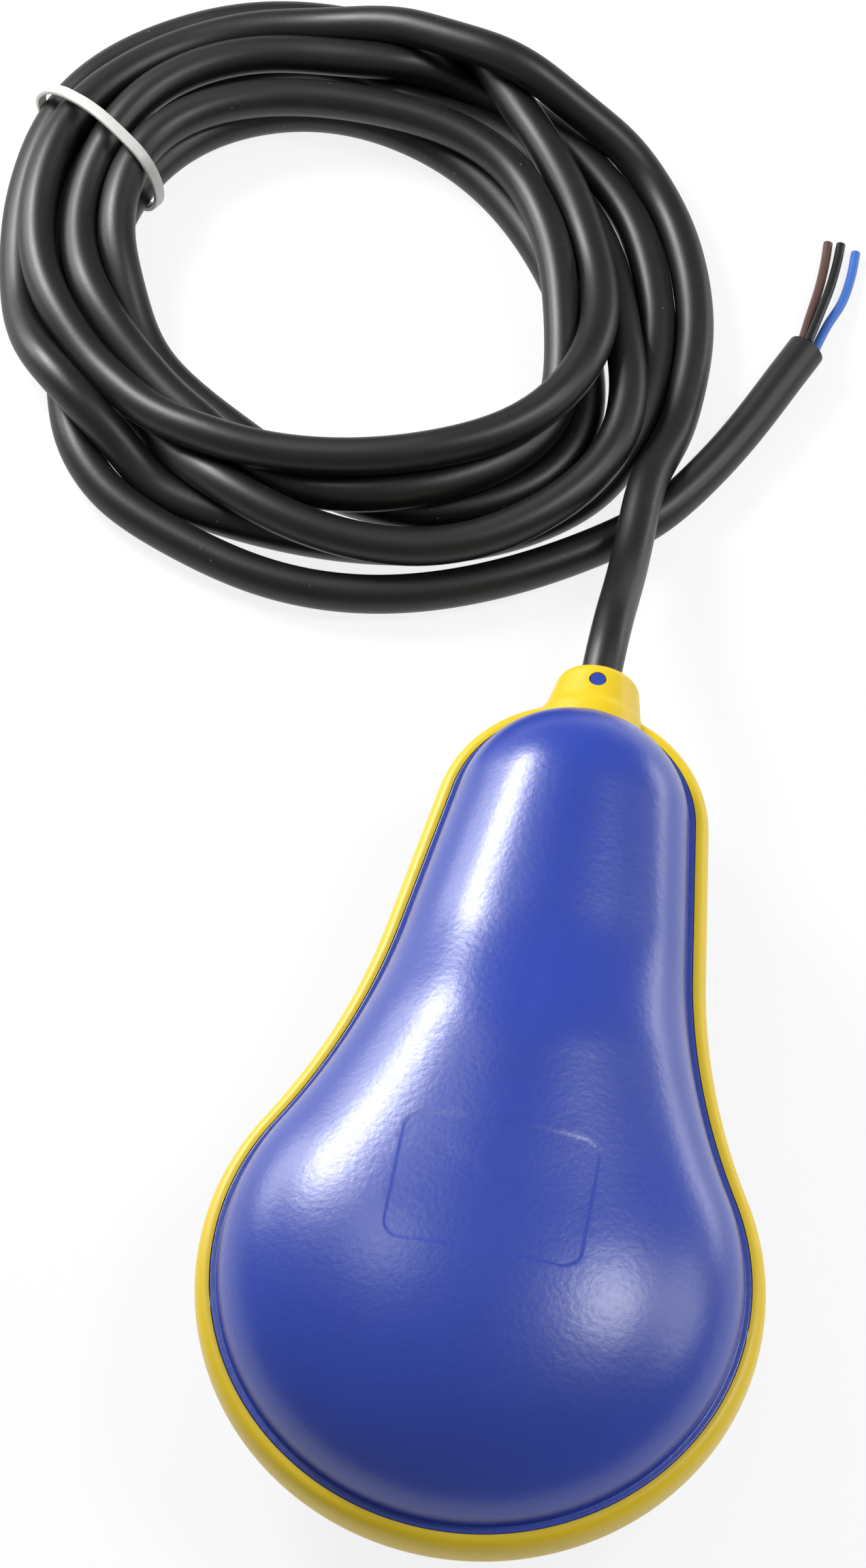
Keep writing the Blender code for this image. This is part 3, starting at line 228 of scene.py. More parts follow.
def skin(rings, closed=False):
    """Mesh data of faces between closed rings of equal length."""
    bm = bmesh.new()
    loops = [[bm.verts.new(point) for point in ring] for ring in rings]
    pairs = list(zip(loops, loops[1:]))
    if closed:
        pairs.append((loops[-1], loops[0]))
    for low, high in pairs:
        for i in range(len(low)):
            j = (i + 1) % len(low)
            bm.faces.new((low[i], low[j], high[j], high[i]))
    bmesh.ops.remove_doubles(bm, verts=bm.verts, dist=WELD_DISTANCE)
    return bm


def place_mesh(name, bm, smooth=CRISP_ANGLE):
    """Object of a bmesh, with its faces turned outwards and its soft edges shaded smooth."""
    bmesh.ops.recalc_face_normals(bm, faces=bm.faces)
    mesh = bpy.data.meshes.new(name)
    bm.to_mesh(mesh)
    bm.free()
    obj = bpy.data.objects.new(name, mesh)
    bpy.context.scene.collection.objects.link(obj)
    shade(obj, smooth)
    return obj


def shade(obj, smooth):
    """Smooth shading, with edges sharper than an angle kept crisp."""
    obj.data.shade_smooth()
    obj.data.set_sharp_from_angle(angle=smooth)


def cut(obj, other, operation):
    """Exact Boolean of obj with another object, applied, which uses the other up."""
    change = obj.modifiers.new("cut", "BOOLEAN")
    change.object = other
    change.operation = operation
    change.solver = "EXACT"
    apply_changes(obj)
    bpy.data.objects.remove(other, do_unlink=True)


def apply_changes(obj):
    """Replaces obj's mesh by what its modifiers make of it."""
    graph = bpy.context.evaluated_depsgraph_get()
    made = bpy.data.meshes.new_from_object(obj.evaluated_get(graph))
    obj.modifiers.clear()
    obj.data = made


def cylinder(name, start, end, radius, sides=48):
    """Closed cylinder between two points of the world."""
    start = Vector(start)
    axis = Vector(end) - start
    turn = Vector((0, 0, 1)).rotation_difference(axis).to_matrix().to_4x4()
    bm = bmesh.new()
    bmesh.ops.create_cone(
        bm, cap_ends=True, segments=sides, radius1=radius, radius2=radius,
        depth=axis.length, matrix=Matrix.Translation(start + axis / 2) @ turn,
    )
    return place_mesh(name, bm)


def turned(name, profile, sides=BORE_SIDES):
    """Closed solid of (radius, y) points turned about the nozzle's axis."""
    angle = 2 * np.pi * (np.arange(sides) + 0.5) / sides
    rings = []
    for r, y in profile:
        rings.append(in_world(np.stack([r * np.cos(angle), 0 * angle + y, r * np.sin(angle)], 1)))
    return place_mesh(name, skin(rings, closed=True))


def rounded(points, radius, steps=5):
    """Corner points of a profile, each replaced by a short arc."""
    points = [np.array(p, float) for p in points]
    result = [points[0]]
    for before, corner, after in zip(points, points[1:], points[2:]):
        start = corner + (before - corner) * min(0.5, radius / np.linalg.norm(before - corner))
        end = corner + (after - corner) * min(0.5, radius / np.linalg.norm(after - corner))
        for t in np.linspace(0, 1, steps + 1):
            result.append(start * (1 - t) ** 2 + corner * 2 * t * (1 - t) + end * t * t)
    return result + [points[-1]]


def add_node(tree, kind, inputs=None, **settings):
    """A node with its settings. An input is a value, or the socket that feeds it."""
    node = tree.nodes.new(kind)
    for name, value in settings.items():
        setattr(node, name, value)
    for name, value in (inputs or {}).items():
        if isinstance(value, bpy.types.NodeSocket):
            tree.links.new(value, node.inputs[name])
        else:
            node.inputs[name].default_value = value
    return node


def color(code):
    """Linear colour of an sRGB hex value."""
    channels = [int(code[k:k + 2], 16) / 255 for k in (1, 3, 5)]
    return [c / 12.92 if c <= 0.04045 else ((c + 0.055) / 1.055) ** 2.4 for c in channels] + [1.0]


def pattern_scale(size):
    """Scale of a pattern whose spots have a size in millimetres."""
    return 1000 / size


def new_material(name):
    """Empty material, as its tree and the shader that its output shows."""
    material = bpy.data.materials.new(name)
    material.use_nodes = True
    tree = material.node_tree
    return material, tree, tree.nodes["Principled BSDF"]


# Sizes of the patterns, in millimetres. Pigment drifts in slow clouds, cooling leaves waves in a wall, and
# a moulded skin has an orange peel of about a millimetre. The grain of an extruder and the marks on
# handled metal are a tenth of a millimetre, too fine to show, so they are drawn as coarse as they need.
PIGMENT_CLOUD = 22
COOLING_WAVE = 4.5
ORANGE_PEEL = 1.1
RUBBED_CLOUD = 17
DUST_SPACING = 3.8
DUST_PATCH = 11
EXTRUDED_GRAIN = 0.7
HANDLING_MARK = 1.4
# Heights of the finest patterns, in metres
ORANGE_PEEL_HEIGHT = 0.0002
FINE_GRAIN_HEIGHT = 0.0001
# How far the roughness of a plastic and a metal goes below and above its middle value, and the sheath's
PLASTIC_GLOSS_RANGE = (-0.05, 0.07)
METAL_GLOSS_RANGE = (-0.04, 0.10)
SHEATH_ROUGHNESS = (0.36, 0.48)
SHEATH_GRAIN_STRENGTH = 0.20
# A dust speck's edge, as shares of the spacing, where in the clouds the dust lies, and how thick it is
SPECK_EDGE = (0.07, 0.03)
DUSTY_SHARE = (0.52, 0.62)
DUST_COVER = 0.45
# Refraction of polypropylene and rubber, and the look of a skin from a polished mould
PLASTIC_IOR = 1.49
RUBBER_IOR = 1.52
SKIN_ROUGHNESS = 0.30
SKIN_IOR = 1.5
# Depth to which red, green and blue light enter a thin pale wall, in metres
GLOW_DEPTH = (0.0022, 0.0016, 0.0006)


def plastic(name, body, shade_color, roughness, glow=0.0, peel=0.06, skin_gloss=0.0, wave=0.0):
    """Moulded or extruded plastic: even colour, soft gloss and a slight orange peel.

    skin_gloss adds the smoother skin that a polished mould leaves over the haze of the plastic, and
    wave is the height of the slow waves that cooling leaves in a large wall.
    """
    material, tree, shader = new_material(name)
    place = add_node(tree, "ShaderNodeTexCoord").outputs["Object"]
    cloud = add_node(
        tree, "ShaderNodeTexNoise",
        {"Vector": place, "Scale": pattern_scale(PIGMENT_CLOUD), "Detail": 3.0},
    )
    tone = add_node(
        tree, "ShaderNodeMix",
        {0: cloud.outputs["Fac"], 6: color(body), 7: color(shade_color)}, data_type="RGBA",
    )
    tree.links.new(tone.outputs[2], shader.inputs["Base Color"])
    grain = add_node(
        tree, "ShaderNodeTexNoise",
        {"Vector": place, "Scale": pattern_scale(ORANGE_PEEL), "Detail": 2.0},
    )
    smoother, rougher = PLASTIC_GLOSS_RANGE
    gloss = add_node(
        tree, "ShaderNodeMapRange",
        {"Value": grain.outputs["Fac"], "To Min": roughness + smoother, "To Max": roughness + rougher},
    )
    tree.links.new(gloss.outputs["Result"], shader.inputs["Roughness"])
    peel_bump = add_node(
        tree, "ShaderNodeBump",
        {"Height": grain.outputs["Fac"], "Strength": peel, "Distance": ORANGE_PEEL_HEIGHT},
    )
    normal = peel_bump.outputs["Normal"]
    if wave:
        slow = add_node(
            tree, "ShaderNodeTexNoise",
            {"Vector": place, "Scale": pattern_scale(COOLING_WAVE), "Detail": 2.0},
        )
        wave_bump = add_node(
            tree, "ShaderNodeBump",
            {"Height": slow.outputs["Fac"], "Strength": 1.0, "Distance": wave, "Normal": normal},
        )
        normal = wave_bump.outputs["Normal"]
    tree.links.new(normal, shader.inputs["Normal"])
    shader.inputs["IOR"].default_value = PLASTIC_IOR
    if skin_gloss:
        tree.links.new(normal, shader.inputs["Coat Normal"])
        shader.inputs["Coat Weight"].default_value = skin_gloss
        shader.inputs["Coat Roughness"].default_value = SKIN_ROUGHNESS
        shader.inputs["Coat IOR"].default_value = SKIN_IOR
    if glow:
        shader.inputs["Subsurface Weight"].default_value = glow
        shader.inputs["Subsurface Radius"].default_value = GLOW_DEPTH
        shader.inputs["Subsurface Scale"].default_value = 1.0
    return material


def cable_sheath():
    """Black rubber, extruded: satin with rubbed patches, a fine grain and a few pale specks of dust."""
    material, tree, shader = new_material("cable_sheath_rubber")
    place = add_node(tree, "ShaderNodeTexCoord").outputs["Object"]
    cloud = add_node(
        tree, "ShaderNodeTexNoise",
        {"Vector": place, "Scale": pattern_scale(RUBBED_CLOUD), "Detail": 4.0},
    )
    tone = add_node(
        tree, "ShaderNodeMix",
        {0: cloud.outputs["Fac"], 6: color("#0A0B0B"), 7: color("#111313")}, data_type="RGBA",
    )
    specks = add_node(
        tree, "ShaderNodeTexVoronoi", {"Vector": place, "Scale": pattern_scale(DUST_SPACING)},
    )
    edge, centre = SPECK_EDGE
    dust = add_node(
        tree, "ShaderNodeMapRange",
        {"Value": specks.outputs["Distance"], "From Min": edge, "From Max": centre},
    )
    patches = add_node(tree, "ShaderNodeTexNoise", {"Vector": place, "Scale": pattern_scale(DUST_PATCH)})
    clean, dusty = DUSTY_SHARE
    here = add_node(
        tree, "ShaderNodeMapRange",
        {"Value": patches.outputs["Fac"], "From Min": clean, "From Max": dusty, "To Max": DUST_COVER},
    )
    share = add_node(
        tree, "ShaderNodeMath",
        {0: dust.outputs["Result"], 1: here.outputs["Result"]}, operation="MULTIPLY",
    )
    dusted = add_node(
        tree, "ShaderNodeMix",
        {0: share.outputs[0], 6: tone.outputs[2], 7: color("#8B8D8C")}, data_type="RGBA",
    )
    tree.links.new(dusted.outputs[2], shader.inputs["Base Color"])
    grain = add_node(
        tree, "ShaderNodeTexNoise",
        {"Vector": place, "Scale": pattern_scale(EXTRUDED_GRAIN), "Detail": 2.0},
    )
    smoothest, roughest = SHEATH_ROUGHNESS
    gloss = add_node(
        tree, "ShaderNodeMapRange",
        {"Value": cloud.outputs["Fac"], "To Min": smoothest, "To Max": roughest},
    )
    tree.links.new(gloss.outputs["Result"], shader.inputs["Roughness"])
    bump = add_node(
        tree, "ShaderNodeBump",
        {"Height": grain.outputs["Fac"], "Strength": SHEATH_GRAIN_STRENGTH, "Distance": FINE_GRAIN_HEIGHT},
    )
    tree.links.new(bump.outputs["Normal"], shader.inputs["Normal"])
    shader.inputs["IOR"].default_value = RUBBER_IOR
    return material


def metal(name, body, roughness, mark_strength=0.04):
    """Plated or plain metal with faint handling marks."""
    material, tree, shader = new_material(name)
    place = add_node(tree, "ShaderNodeTexCoord").outputs["Object"]
    marks = add_node(
        tree, "ShaderNodeTexNoise",
        {"Vector": place, "Scale": pattern_scale(HANDLING_MARK), "Detail": 4.0},
    )
    smoother, rougher = METAL_GLOSS_RANGE
    gloss = add_node(
        tree, "ShaderNodeMapRange",
        {"Value": marks.outputs["Fac"], "To Min": roughness + smoother, "To Max": roughness + rougher},
    )
    tree.links.new(gloss.outputs["Result"], shader.inputs["Roughness"])
    bump = add_node(
        tree, "ShaderNodeBump",
        {"Height": marks.outputs["Fac"], "Strength": mark_strength, "Distance": FINE_GRAIN_HEIGHT},
    )
    tree.links.new(bump.outputs["Normal"], shader.inputs["Normal"])
    shader.inputs["Base Color"].default_value = color(body)
    shader.inputs["Metallic"].default_value = 1.0
    return material


# Polypropylene from a polished mould: deep even blue, a soft haze under a thin gloss, and an uneven skin
# that breaks the highlights up
BLUE = plastic(
    "blue_moulded_polypropylene", "#2441A8", "#20389C", 0.32, peel=0.20, skin_gloss=0.55,
    wave=0.00004,
)
# The same plastic in yellow, moulded round the seam: a duller skin, and a faint glow where it is thin
YELLOW = plastic(
    "yellow_moulded_polypropylene", "#E2C316", "#DABA10", 0.42, glow=0.10, skin_gloss=0.15, wave=0.00002,
)
SHEATH = cable_sheath()
# Natural nylon, moulded: milky, with light inside it and a smooth gloss
NYLON = plastic("natural_moulded_nylon", "#BDBEBB", "#B3B4B1", 0.36, glow=0.25)
# Polyester with glass fibre, moulded: flat warm white
WHITE = plastic("white_moulded_pbt", "#E4E2DA", "#D8D6CE", 0.42)
# Acetal, moulded: dense and waxy
GREY = plastic("grey_moulded_acetal", "#8C9094", "#83878B", 0.38)
RED = plastic("red_moulded_acetal", "#B8261E", "#AC2019", 0.35)
# Phenolic resin, moulded: nearly black and dull
DARK = plastic("dark_moulded_phenolic", "#26262A", "#1E1E22", 0.45)
# Bearing steel, ground and polished: a clear mirror
STEEL = metal("polished_bearing_steel", "#C9CACC", 0.14)
# Steel plated with zinc in a barrel: pale grey with a slight haze
ZINC = metal("zinc_plated_steel", "#B9BDBE", 0.28, mark_strength=0.08)
# Brass, stamped from sheet: warm yellow and slightly marked
BRASS = metal("stamped_brass", "#C9A352", 0.26, mark_strength=0.08)
# Soft PVC, extruded round the cores: plain colour with a satin gloss
WIRE_MATERIALS = {
    "brown": plastic("brown_extruded_insulation", "#5E443E", "#533B36", 0.38),
    "black": plastic("black_extruded_insulation", "#191A1C", "#131416", 0.38),
    "blue": plastic("blue_extruded_insulation", "#3F70C4", "#3864B4", 0.38),
}


def finish_piece(obj, material, slot, *nodes):
    """Gives a piece its material, its place on the float and the solid nodes that it stands for."""
    obj.data.materials.clear()
    obj.data.materials.append(material)
    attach(obj, "root")
    if nodes:
        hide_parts(*nodes)


# Camera
camera_data = bpy.data.cameras.new("camera")
camera_data.lens = CAMERA_LENS
camera_data.sensor_width = CAMERA_SENSOR
camera = bpy.data.objects.new("camera", camera_data)
forward = Vector(CAMERA_FORWARD).normalized()
right = forward.cross(Vector(CAMERA_UP)).normalized()
up = right.cross(forward)
turn = Matrix((right, up, -forward)).transposed()
camera.matrix_world = Matrix.Translation(CAMERA_PLACE) @ turn.to_4x4()
bpy.context.scene.collection.objects.link(camera)
bpy.context.scene.camera = camera

# Route of the cable, as in the solid model
LEAD_ROUTE = [
    (0.0000, 0.0644, 0.0270), (0.0000, 0.0780, 0.0270), (0.0000, 0.0924, 0.0270),
    (0.0001, 0.1010, 0.0267), (0.0003, 0.1120, 0.0235), (0.0006, 0.1243, 0.0182),
    (0.0010, 0.1360, 0.0146), (0.0013, 0.1460, 0.0130), (0.0017, 0.1553, 0.0110),
    (0.0023, 0.1658, 0.0076), (0.0031, 0.1805, 0.0046),
]
TAIL_ROUTE = [
    (-0.1210, 0.1511, 0.0042), (-0.1150, 0.1420, 0.0042), (-0.1050, 0.1320, 0.0042),
    (-0.0923, 0.1236, 0.0042), (-0.0753, 0.1174, 0.0042), (-0.0589, 0.1163, 0.0042),
    (-0.0429, 0.1189, 0.0042), (-0.0229, 0.1271, 0.0042), (-0.0057, 0.1391, 0.0042),
    (0.0059, 0.1513, 0.0042), (0.0162, 0.1668, 0.0042), (0.0241, 0.1846, 0.0042),
    (0.0277, 0.1929, 0.0042),
]
WIRE_END_ROUTES = {
    "brown": [(0.02654, 0.1940, 0.0046), (0.0272, 0.2015, 0.0034), (0.0280, 0.2095, 0.0022),
              (0.0283, 0.2170, 0.0012), (0.0282, 0.2226, 0.0010)],
    "black": [(0.0279, 0.1935, 0.0062), (0.0293, 0.2028, 0.0044), (0.0303, 0.2103, 0.0026),
              (0.0308, 0.2175, 0.0013), (0.0309, 0.2228, 0.0010)],
    "blue": [(0.0293, 0.1929, 0.0036), (0.0311, 0.2006, 0.0028), (0.0333, 0.2077, 0.0018),
             (0.0342, 0.2149, 0.0012), (0.0343, 0.2213, 0.0010)],
}
# As thick as in the photograph, and thicker than in the solid model
WIRE_RADIUS = 0.00100
COIL_CENTRE = (-0.0690, 0.1900)

# Coil, laid as in the photograph. Each row is one turn, anticlockwise from +X with a place every
# 30 degrees: the strand's distance from the coil's centre, in millimetres.
COIL_TURNS = [
    (72, 70, 59, 57, 65, 69, 66, 60, 54, 51, 53, 56),
    (52, 49, 55, 65, 73, 76, 70, 65, 60, 62, 67, 72),
    (65, 63, 58, 54, 59, 62, 57, 51, 50, 52, 56, 58),
    (47, 44, 42, 41, 46, 52, 52, 46, 44, 50, 58, 60),
    (47, 41, 40, 42, 47, 51, 51, 52, 57, 63, 70, 71),
    (60, 53, 53, 55, 61, 65, 63),
]
# How many strands lie beneath the strand at each of those places
COIL_LAYERS = [
    (0, 0.25, 1.75, 1.5, 1.25, 1.25, 1, 1.5, 2, 2, 2, 2),
    (2, 1.5, 0.75, 0, 0, 0.25, 0, 1, 0.25, 0, 0, 0),
    (0, 0, 0, 0.75, 1.25, 1.25, 1.25, 1.25, 1.25, 1, 1, 1),
    (1.25, 1.25, 1.25, 1.25, 1.25, 1.25, 1.25, 1, 0, 0, 0, 0),
    (0, 0, 0, 0, 0, 0, 0, 0, 0.75, 1, 1, 1),
    (1, 0.25, 0, 0, 0, 0, 0),
]
COIL_STEP = math.radians(30.0)
MILLIMETRE = 0.001
LOWEST_STRAND = 0.0042
LAYER_HEIGHT = 0.0069
CABLE_SPACING = 0.004
SHOWN_SPACING = 0.002
WIRE_SPACING = 0.001
CURVE_STEPS = 16
# Settling: steps, pull to the drawn place, stiffness, sag of a step, and push between strands
SETTLE_STAGES = [
    (150, 0.05, 1.0, 0.00006, 0.6),
    (80, 0.01, 0.25, 0.00002, 0.8),
    (30, 0.004, 0.05, 0.0, 0.8),
]
# Length of cable that is one bend and doesn't push itself, what is held of both ends, and how firmly
SAME_BEND = 0.024
HELD_LEAD = 0.050
HELD_TAIL_POINTS = 3
HOLD = 1000.0
# Room kept between strands, and the least distance that a push is worked out from
STRAND_GAP = 0.0001
SMALLEST_DISTANCE = 1e-6

# Tie, as the two ends of its plane: angle from the coil's centre, and distance from it
TIE_OUTER = (math.radians(156.0), 0.0780)
TIE_INNER = (math.radians(164.0), 0.0450)
TIE_WIDTH = 0.0024
TIE_THICKNESS = 0.0010
TIE_TOOTH = 0.0003
TIE_PITCH = 0.0009
TIE_EDGE = 0.00022
TIE_EDGE_STEPS = 3
TOOTH_WIDTH_SHARE = 0.6
# Room for the tie under the strands: reach past its ends, full lift beside it, fading, and clearance
TIE_OVERHANG = 0.01
TIE_NEAR = 0.004
TIE_FADE = 0.03
TIE_ROOM = 0.0004
# How far past the tie's ends a strand is still tied, the strap's clearances, and its line's spacings
TIE_REACH = 0.02
TIE_CLEARANCE = 0.0002
TIE_FLOOR_GAP = 0.00005
TIE_SPACING = 0.0008
TIE_SHOWN_SPACING = 0.0006
# The strap's stiffness, as the points over which its bend is evened out and the softness of that
TIE_STIFF_POINTS = 20
TIE_SOFTNESS = 8.0
STRAND_SIDES = 48
CABLE_SIDES = 32
WIRE_SIDES = 20


def smooth_path(points, spacing):
    """Points at an even spacing along a smooth curve through the given points."""
    knots = np.array(points, float)
    knots = np.concatenate([[2 * knots[0] - knots[1]], knots, [2 * knots[-1] - knots[-2]]])
    a, b, c, d = knots[:-3], knots[1:-2], knots[2:-1], knots[3:]
    t = np.linspace(0, 1, CURVE_STEPS, endpoint=False)[:, None, None]
    fine = 2 * b + (c - a) * t
    fine = fine + (2 * a - 5 * b + 4 * c - d) * t ** 2
    fine = 0.5 * (fine + (3 * b - a - 3 * c + d) * t ** 3)
    fine = np.concatenate([fine.transpose(1, 0, 2).reshape(-1, 3), knots[-2:-1]])
    return even(fine, spacing)


def even(points, spacing):
    """The same line with its points at an even spacing."""
    reach = np.concatenate([[0], np.cumsum(np.linalg.norm(np.diff(points, axis=0), axis=1))])
    places = np.linspace(0, reach[-1], max(3, round(reach[-1] / spacing) + 1))
    return np.stack([np.interp(places, reach, points[:, k]) for k in range(3)], 1)


def even_loop(flat, spacing):
    """A closed flat line with its points at an even spacing, and with z added."""
    closed = np.column_stack([np.concatenate([flat, flat[:1]]), np.zeros(len(flat) + 1)])
    return even(closed, spacing)[:-1]


def traced_cable():
    """Rough centre line of the whole cable, before it is settled."""
    coil = []
    for distances, layers in zip(COIL_TURNS, COIL_LAYERS):
        for place, (distance, layer) in enumerate(zip(distances, layers)):
            x = COIL_CENTRE[0] + distance * MILLIMETRE * math.cos(place * COIL_STEP)
            y = COIL_CENTRE[1] + distance * MILLIMETRE * math.sin(place * COIL_STEP)
            coil.append((x, y, LOWEST_STRAND + layer * LAYER_HEIGHT))
    return smooth_path(LEAD_ROUTE + coil + TAIL_ROUTE, CABLE_SPACING)


def tie_plane():
    """A point on the tie's plane, its direction outwards, its normal, and its length."""
    ends = []
    for angle, distance in (TIE_INNER, TIE_OUTER):
        ends.append(np.array([
            COIL_CENTRE[0] + distance * math.cos(angle), COIL_CENTRE[1] + distance * math.sin(angle), 0,
        ]))
    along = (ends[1] - ends[0]) / np.linalg.norm(ends[1] - ends[0])
    return ends[0], along, np.array([-along[1], along[0], 0]), np.linalg.norm(ends[1] - ends[0])


def settled(traced):
    """The cable lying under its own weight: strands pushed apart, bent smoothly, over floor and tie."""
    line = traced.copy()
    count = len(line)
    near = round(SAME_BEND / CABLE_SPACING)
    held = round(HELD_LEAD / CABLE_SPACING)
    free = np.ones(count, bool)
    free[:held] = False
    free[-HELD_TAIL_POINTS:] = False
    bend = np.diff(np.eye(count), 2, axis=0)
    origin, along, normal, reach = tie_plane()
    low, high = np.triu_indices(count, near)
    for steps, pull, stiffness, sag, force in SETTLE_STAGES:
        hold = np.where(free, pull, HOLD)
        smoother = np.linalg.inv(np.eye(count) + np.diag(hold) + stiffness * bend.T @ bend)
        for _ in range(steps):
            gap = line[high] - line[low]
            distance = np.linalg.norm(gap, axis=1)
            touching = distance < CABLE_DIAMETER + STRAND_GAP
            i, j = low[touching], high[touching]
            push = gap[touching] / np.maximum(distance[touching], SMALLEST_DISTANCE)[:, None]
            push *= (CABLE_DIAMETER + STRAND_GAP - distance[touching])[:, None] / 2
            move = np.zeros_like(line)
            np.add.at(move, j, push)
            np.add.at(move, i, -push)
            moved = line + move * force
            moved[:, 2] -= sag
            away = np.abs((moved - origin) @ normal)
            span = (moved - origin) @ along
            under_tie = (span > -TIE_OVERHANG) & (span < reach + TIE_OVERHANG)
            lift = np.where(under_tie, np.clip(1 - (away - TIE_NEAR) / TIE_FADE, 0, 1), 0)
            floor = CABLE_RADIUS + (TIE_THICKNESS + TIE_ROOM) * lift
            moved[:, 2] = np.maximum(moved[:, 2], floor)
            aim = traced.copy()
            aim[:, 2] = np.where(free, moved[:, 2], traced[:, 2])
            line = smoother @ (moved + hold[:, None] * aim)
            line[:, 2] = np.where(free, np.maximum(line[:, 2], floor), line[:, 2])
    return smooth_path(line, SHOWN_SPACING)


def node_tree(name, *inputs):
    """Empty Geometry Nodes tree with named inputs, as the tree and its input sockets."""
    tree = bpy.data.node_groups.new(name, "GeometryNodeTree")
    kinds = {"Geometry": "NodeSocketGeometry", "Sides": "NodeSocketInt", "Material": "NodeSocketMaterial"}
    for label in ("Geometry",) + inputs:
        kind = kinds.get(label, "NodeSocketFloat")
        tree.interface.new_socket(label, in_out="INPUT", socket_type=kind)
    tree.interface.new_socket("Geometry", in_out="OUTPUT", socket_type="NodeSocketGeometry")
    return tree, add_node(tree, "NodeGroupInput").outputs


def finish_tree(tree, geometry, material):
    """Ends a tree: instances made real, and the material set."""
    whole = add_node(tree, "GeometryNodeRealizeInstances", {"Geometry": geometry})
    painted = add_node(
        tree, "GeometryNodeSetMaterial", {"Geometry": whole.outputs["Geometry"], "Material": material},
    )
    add_node(tree, "NodeGroupOutput", {"Geometry": painted.outputs["Geometry"]})


def tube_tree():
    """Runs a round section along a line and closes both ends."""
    tree, given = node_tree("round_tube", "Radius", "Sides", "Material")
    section = add_node(
        tree, "GeometryNodeCurvePrimitiveCircle", {"Resolution": given["Sides"], "Radius": given["Radius"]},
        mode="RADIUS",
    )
    body = add_node(
        tree, "GeometryNodeCurveToMesh",
        {"Curve": given["Geometry"], "Profile Curve": section.outputs["Curve"], "Fill Caps": True},
    )
    finish_tree(tree, body.outputs["Mesh"], given["Material"])
    return tree


def strap_tree():
    """Runs a flat section round a closed line, and sets teeth across its inner face."""
    tree, given = node_tree("toothed_strap", "Width", "Thickness", "Pitch", "Tooth", "Material")
    level = add_node(tree, "GeometryNodeSetCurveNormal", {"Curve": given["Geometry"]}, mode="Z_UP")
    section = add_node(
        tree, "GeometryNodeCurvePrimitiveQuadrilateral",
        {"Width": given["Thickness"], "Height": given["Width"]}, mode="RECTANGLE",
    )
    soft = add_node(
        tree, "GeometryNodeFilletCurve",
        {"Curve": section.outputs["Curve"], "Radius": TIE_EDGE, "Count": TIE_EDGE_STEPS}, mode="POLY",
    )
    body = add_node(
        tree, "GeometryNodeCurveToMesh",
        {"Curve": level.outputs["Curve"], "Profile Curve": soft.outputs["Curve"]},
    )
    places = add_node(
        tree, "GeometryNodeCurveToPoints", {"Curve": level.outputs["Curve"], "Length": given["Pitch"]},
        mode="LENGTH",
    )
    ridge = add_node(
        tree, "ShaderNodeMath", {0: given["Width"], 1: TOOTH_WIDTH_SHARE}, operation="MULTIPLY",
    )
    size = add_node(
        tree, "ShaderNodeCombineXYZ", {"X": given["Tooth"], "Y": ridge.outputs[0], "Z": given["Tooth"]},
    )
    tooth = add_node(tree, "GeometryNodeMeshCube", {"Size": size.outputs["Vector"]})
    drop = add_node(tree, "ShaderNodeMath", {0: given["Thickness"], 1: -0.5}, operation="MULTIPLY")
    shift = add_node(tree, "ShaderNodeCombineXYZ", {"X": drop.outputs[0]})
    low = add_node(
        tree, "GeometryNodeTransform",
        {"Geometry": tooth.outputs["Mesh"], "Translation": shift.outputs["Vector"]},
    )
    teeth = add_node(
        tree, "GeometryNodeInstanceOnPoints",
        {
            "Points": places.outputs["Points"], "Instance": low.outputs["Geometry"],
            "Rotation": places.outputs["Rotation"],
        },
    )
    whole = add_node(tree, "GeometryNodeJoinGeometry")
    for part in (teeth.outputs["Instances"], body.outputs["Mesh"]):
        tree.links.new(part, whole.inputs["Geometry"])
    finish_tree(tree, whole.outputs["Geometry"], given["Material"])
    return tree


def grown(name, points, tree, values, closed=False):
    """Mesh that a node tree grows along a line of points."""
    curve = bpy.data.curves.new(name, "CURVE")
    curve.dimensions = "3D"
    spline = curve.splines.new("POLY")
    spline.points.add(len(points) - 1)
    spline.points.foreach_set("co", np.column_stack([points, np.ones(len(points))]).ravel())
    spline.use_cyclic_u = closed
    line = bpy.data.objects.new(name, curve)
    bpy.context.scene.collection.objects.link(line)
    change = line.modifiers.new("grow", "NODES")
    change.node_group = tree
    for socket in tree.interface.items_tree:
        if socket.in_out == "INPUT" and socket.name in values:
            change[socket.identifier] = values[socket.name]
    graph = bpy.context.evaluated_depsgraph_get()
    mesh = bpy.data.meshes.new_from_object(line.evaluated_get(graph))
    bpy.data.objects.remove(line, do_unlink=True)
    bm = bmesh.new()
    bm.from_mesh(mesh)
    obj = place_mesh(name, bm, LINE_CRISP_ANGLE)
    obj.data.materials.append(values["Material"])
    return obj


def hull(points):
    """Corners of the smallest convex shape round flat points, anticlockwise."""
    points = sorted(map(tuple, points))
    sides = []
    for order in (points, points[::-1]):
        side = []
        for p in order:
            while len(side) > 1:
                (ax, ay), (bx, by) = side[-2], side[-1]
                if (bx - ax) * (p[1] - ay) - (by - ay) * (p[0] - ax) > 0:
                    break
                side.pop()
            side.append(p)
        sides += side[:-1]
    return np.array(sides)


